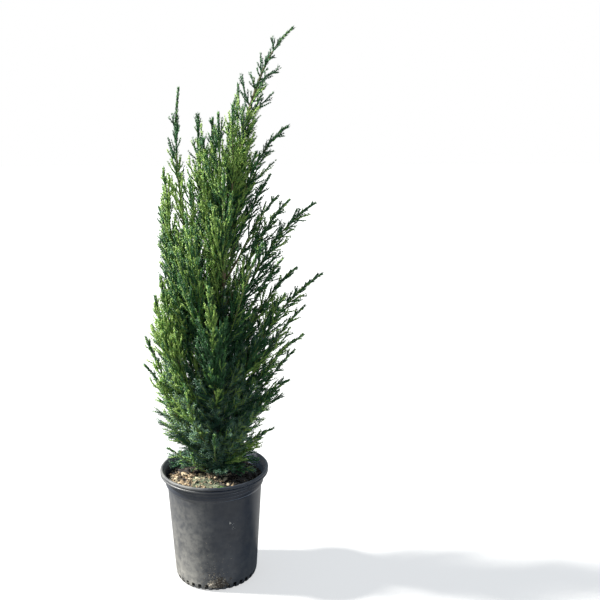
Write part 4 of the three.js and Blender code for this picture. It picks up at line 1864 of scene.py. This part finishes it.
    def moss(self, name: str, cushions: tuple, blades: int, rng: np.random.Generator) -> bpy.types.Object:
        """Set cushions of short moss near the front of the trunk's foot.

        Args:
            name: The piece's name.
            cushions: The x, y and radius of each.
            blades: How many blades they hold in all.
            rng: Where the differences come from.

        Returns:
            The moss, as one piece.
        """
        centres = np.array(cushions)
        chosen = centres[rng.integers(0, len(centres), blades)]
        away = chosen[:, 2] * np.sqrt(rng.random(blades))
        bearing = rng.uniform(0, 2 * np.pi, blades)
        x, y = chosen[:, 0] + away * np.cos(bearing), chosen[:, 1] + away * np.sin(bearing)
        foot = np.stack([x, y, self.height_at(x, y) - self.blade_sunk], -1)
        lean = rng.normal(0, self.blade_lean, (blades, 3)) * (1, 1, 0)
        tip = foot + UP * rng.uniform(*self.blade_lengths, (blades, 1)) + lean
        none = np.zeros(blades, int)
        axes = Axes(np.stack([foot, tip], 1), np.full(blades, self.blade_radius), none, none > 0, 0.0)
        return mesh_piece(name, *tapering_stems(axes, 3))

    def build(self) -> None:
        """Make the bed and all that lies on it."""
        rng = np.random.default_rng(self.seed)
        dark = Finish("damp_mix", (0.022, 0.016, 0.012), (0.085, 0.060, 0.040), 160, 0.95, 600, 0.001)
        dress(self.bed(), dark.material(), Slot.MIX, "soil")
        kinds = (
            ("bark_chips", self.chips, self.chip_sizes, self.chip_inset),
            ("crumbs", self.crumbs, self.crumb_sizes, self.crumb_inset),
        )
        for shade, base, patch, gather, share in self.shades:
            finish = Finish(f"bark_chip_{shade}", base, patch, 180, 0.9, 700, 0.0005).material()
            for kind, count, (least, greatest), inset in kinds:
                sizes = rng.uniform(least, greatest, (int(count * share), 3))
                lumps = self.scattered(sizes, rng, self.edge_radius - inset, gather)
                dress(lump_piece(f"{kind}_{shade}", lumps), finish, Slot.MIX)
        moss = Finish("moss_green", (0.105, 0.145, 0.085), (0.27, 0.30, 0.205), 160, 0.8)
        dress(self.moss("moss", self.moss_cushions, self.moss_blades, rng), moss.material(), Slot.NEEDLES)
        tuft = Finish("fresh_moss", (0.10, 0.24, 0.04), (0.17, 0.34, 0.06), 160, 0.7)
        dress(self.moss("moss_tuft", self.tufts, self.tuft_blades, rng), tuft.material(), Slot.NEEDLES)


@dataclass
class Studio:
    """The floor, the soft lights and the camera, in metres and degrees."""

    camera_at: tuple[float, float, float] = (0.0, -1.158, 0.678)
    pitch: float = 11.89
    yaw: float = 6.51
    lens: float = 48.0
    key_from: tuple[float, float, float] = (-0.96, 0.16, 0.9)
    key_strength: float = 9.6
    key_spread: float = 5.0
    key_colour: Colour = (1.0, 0.97, 0.91)
    ambient: float = 0.62
    sky: Colour = (0.74, 0.87, 1.0)
    paper_glow: float = 0.6

    def camera(self) -> None:
        """Stand the camera where the photograph was taken from."""
        lens = bpy.data.cameras.new("camera")
        lens.lens = self.lens
        lens.sensor_width = 36.0
        lens.clip_end = 50.0
        eye = added("camera", lens)
        eye.location = self.camera_at
        eye.rotation_euler = (math.radians(90 - self.pitch), 0.0, math.radians(-self.yaw))
        bpy.context.scene.camera = eye

    def key_light(self) -> None:
        """Shine a soft light from the left and above."""
        light = bpy.data.lights.new("key", "SUN")
        light.energy = self.key_strength
        light.angle = math.radians(self.key_spread)
        light.color = self.key_colour
        added("key", light).rotation_euler = (-Vector(self.key_from)).to_track_quat("-Z", "Y").to_euler()

    def floor(self) -> None:
        """Lay a plain pale floor, which glows white to the camera alone."""
        deselect_all()
        bpy.ops.mesh.primitive_plane_add(size=30, location=(0, 0, 0))
        ground = bpy.context.view_layer.objects.active
        ground.name = "floor"
        paper = bpy.data.materials.new("white_paper")
        paper.use_nodes = True
        nodes = Nodes(paper.node_tree)
        seen = nodes.add("LightPath", {})["Is Camera Ray"]
        inputs = {"Base Color": (0.3, 0.3, 0.3, 1), "Roughness": 0.9, "Emission Strength": self.paper_glow}
        glow = nodes.blend(seen, (0, 0, 0, 1), (1, 1, 1, 1))
        nodes.feed(paper.node_tree.nodes["Principled BSDF"], inputs | {"Emission Color": glow})
        ground.data.materials.append(paper)

    def surroundings(self) -> None:
        """Light the plant from all round with a bluish sky, which the camera sees as white."""
        world = bpy.data.worlds.new("studio")
        world.use_nodes = True
        nodes = Nodes(world.node_tree)
        seen = nodes.add("LightPath", {})["Is Camera Ray"]
        tint = nodes.blend(seen, (*self.sky, 1), (1, 1, 1, 1))
        strength = nodes.ranged(seen, (0.0, 1.0), (self.ambient, 1.0))
        nodes.feed(world.node_tree.nodes["Background"], {"Color": tint, "Strength": strength})
        bpy.context.scene.world = world

    def build(self) -> None:
        """Set up everything round the plant."""
        self.camera()
        self.floor()
        self.surroundings()
        self.key_light()
        bpy.context.scene.view_settings.view_transform = "Standard"


def main() -> None:
    """Build every sub-assembly in order."""
    logging.basicConfig(level=logging.INFO, format="%(name)s: %(message)s")
    Studio().build()
    Pot().build()
    PottingMix().build()
    crown = Crown()
    crown.grow()
    Wood(crown).build()
    Foliage(crown).build()


if __name__ == "__main__":
    main()
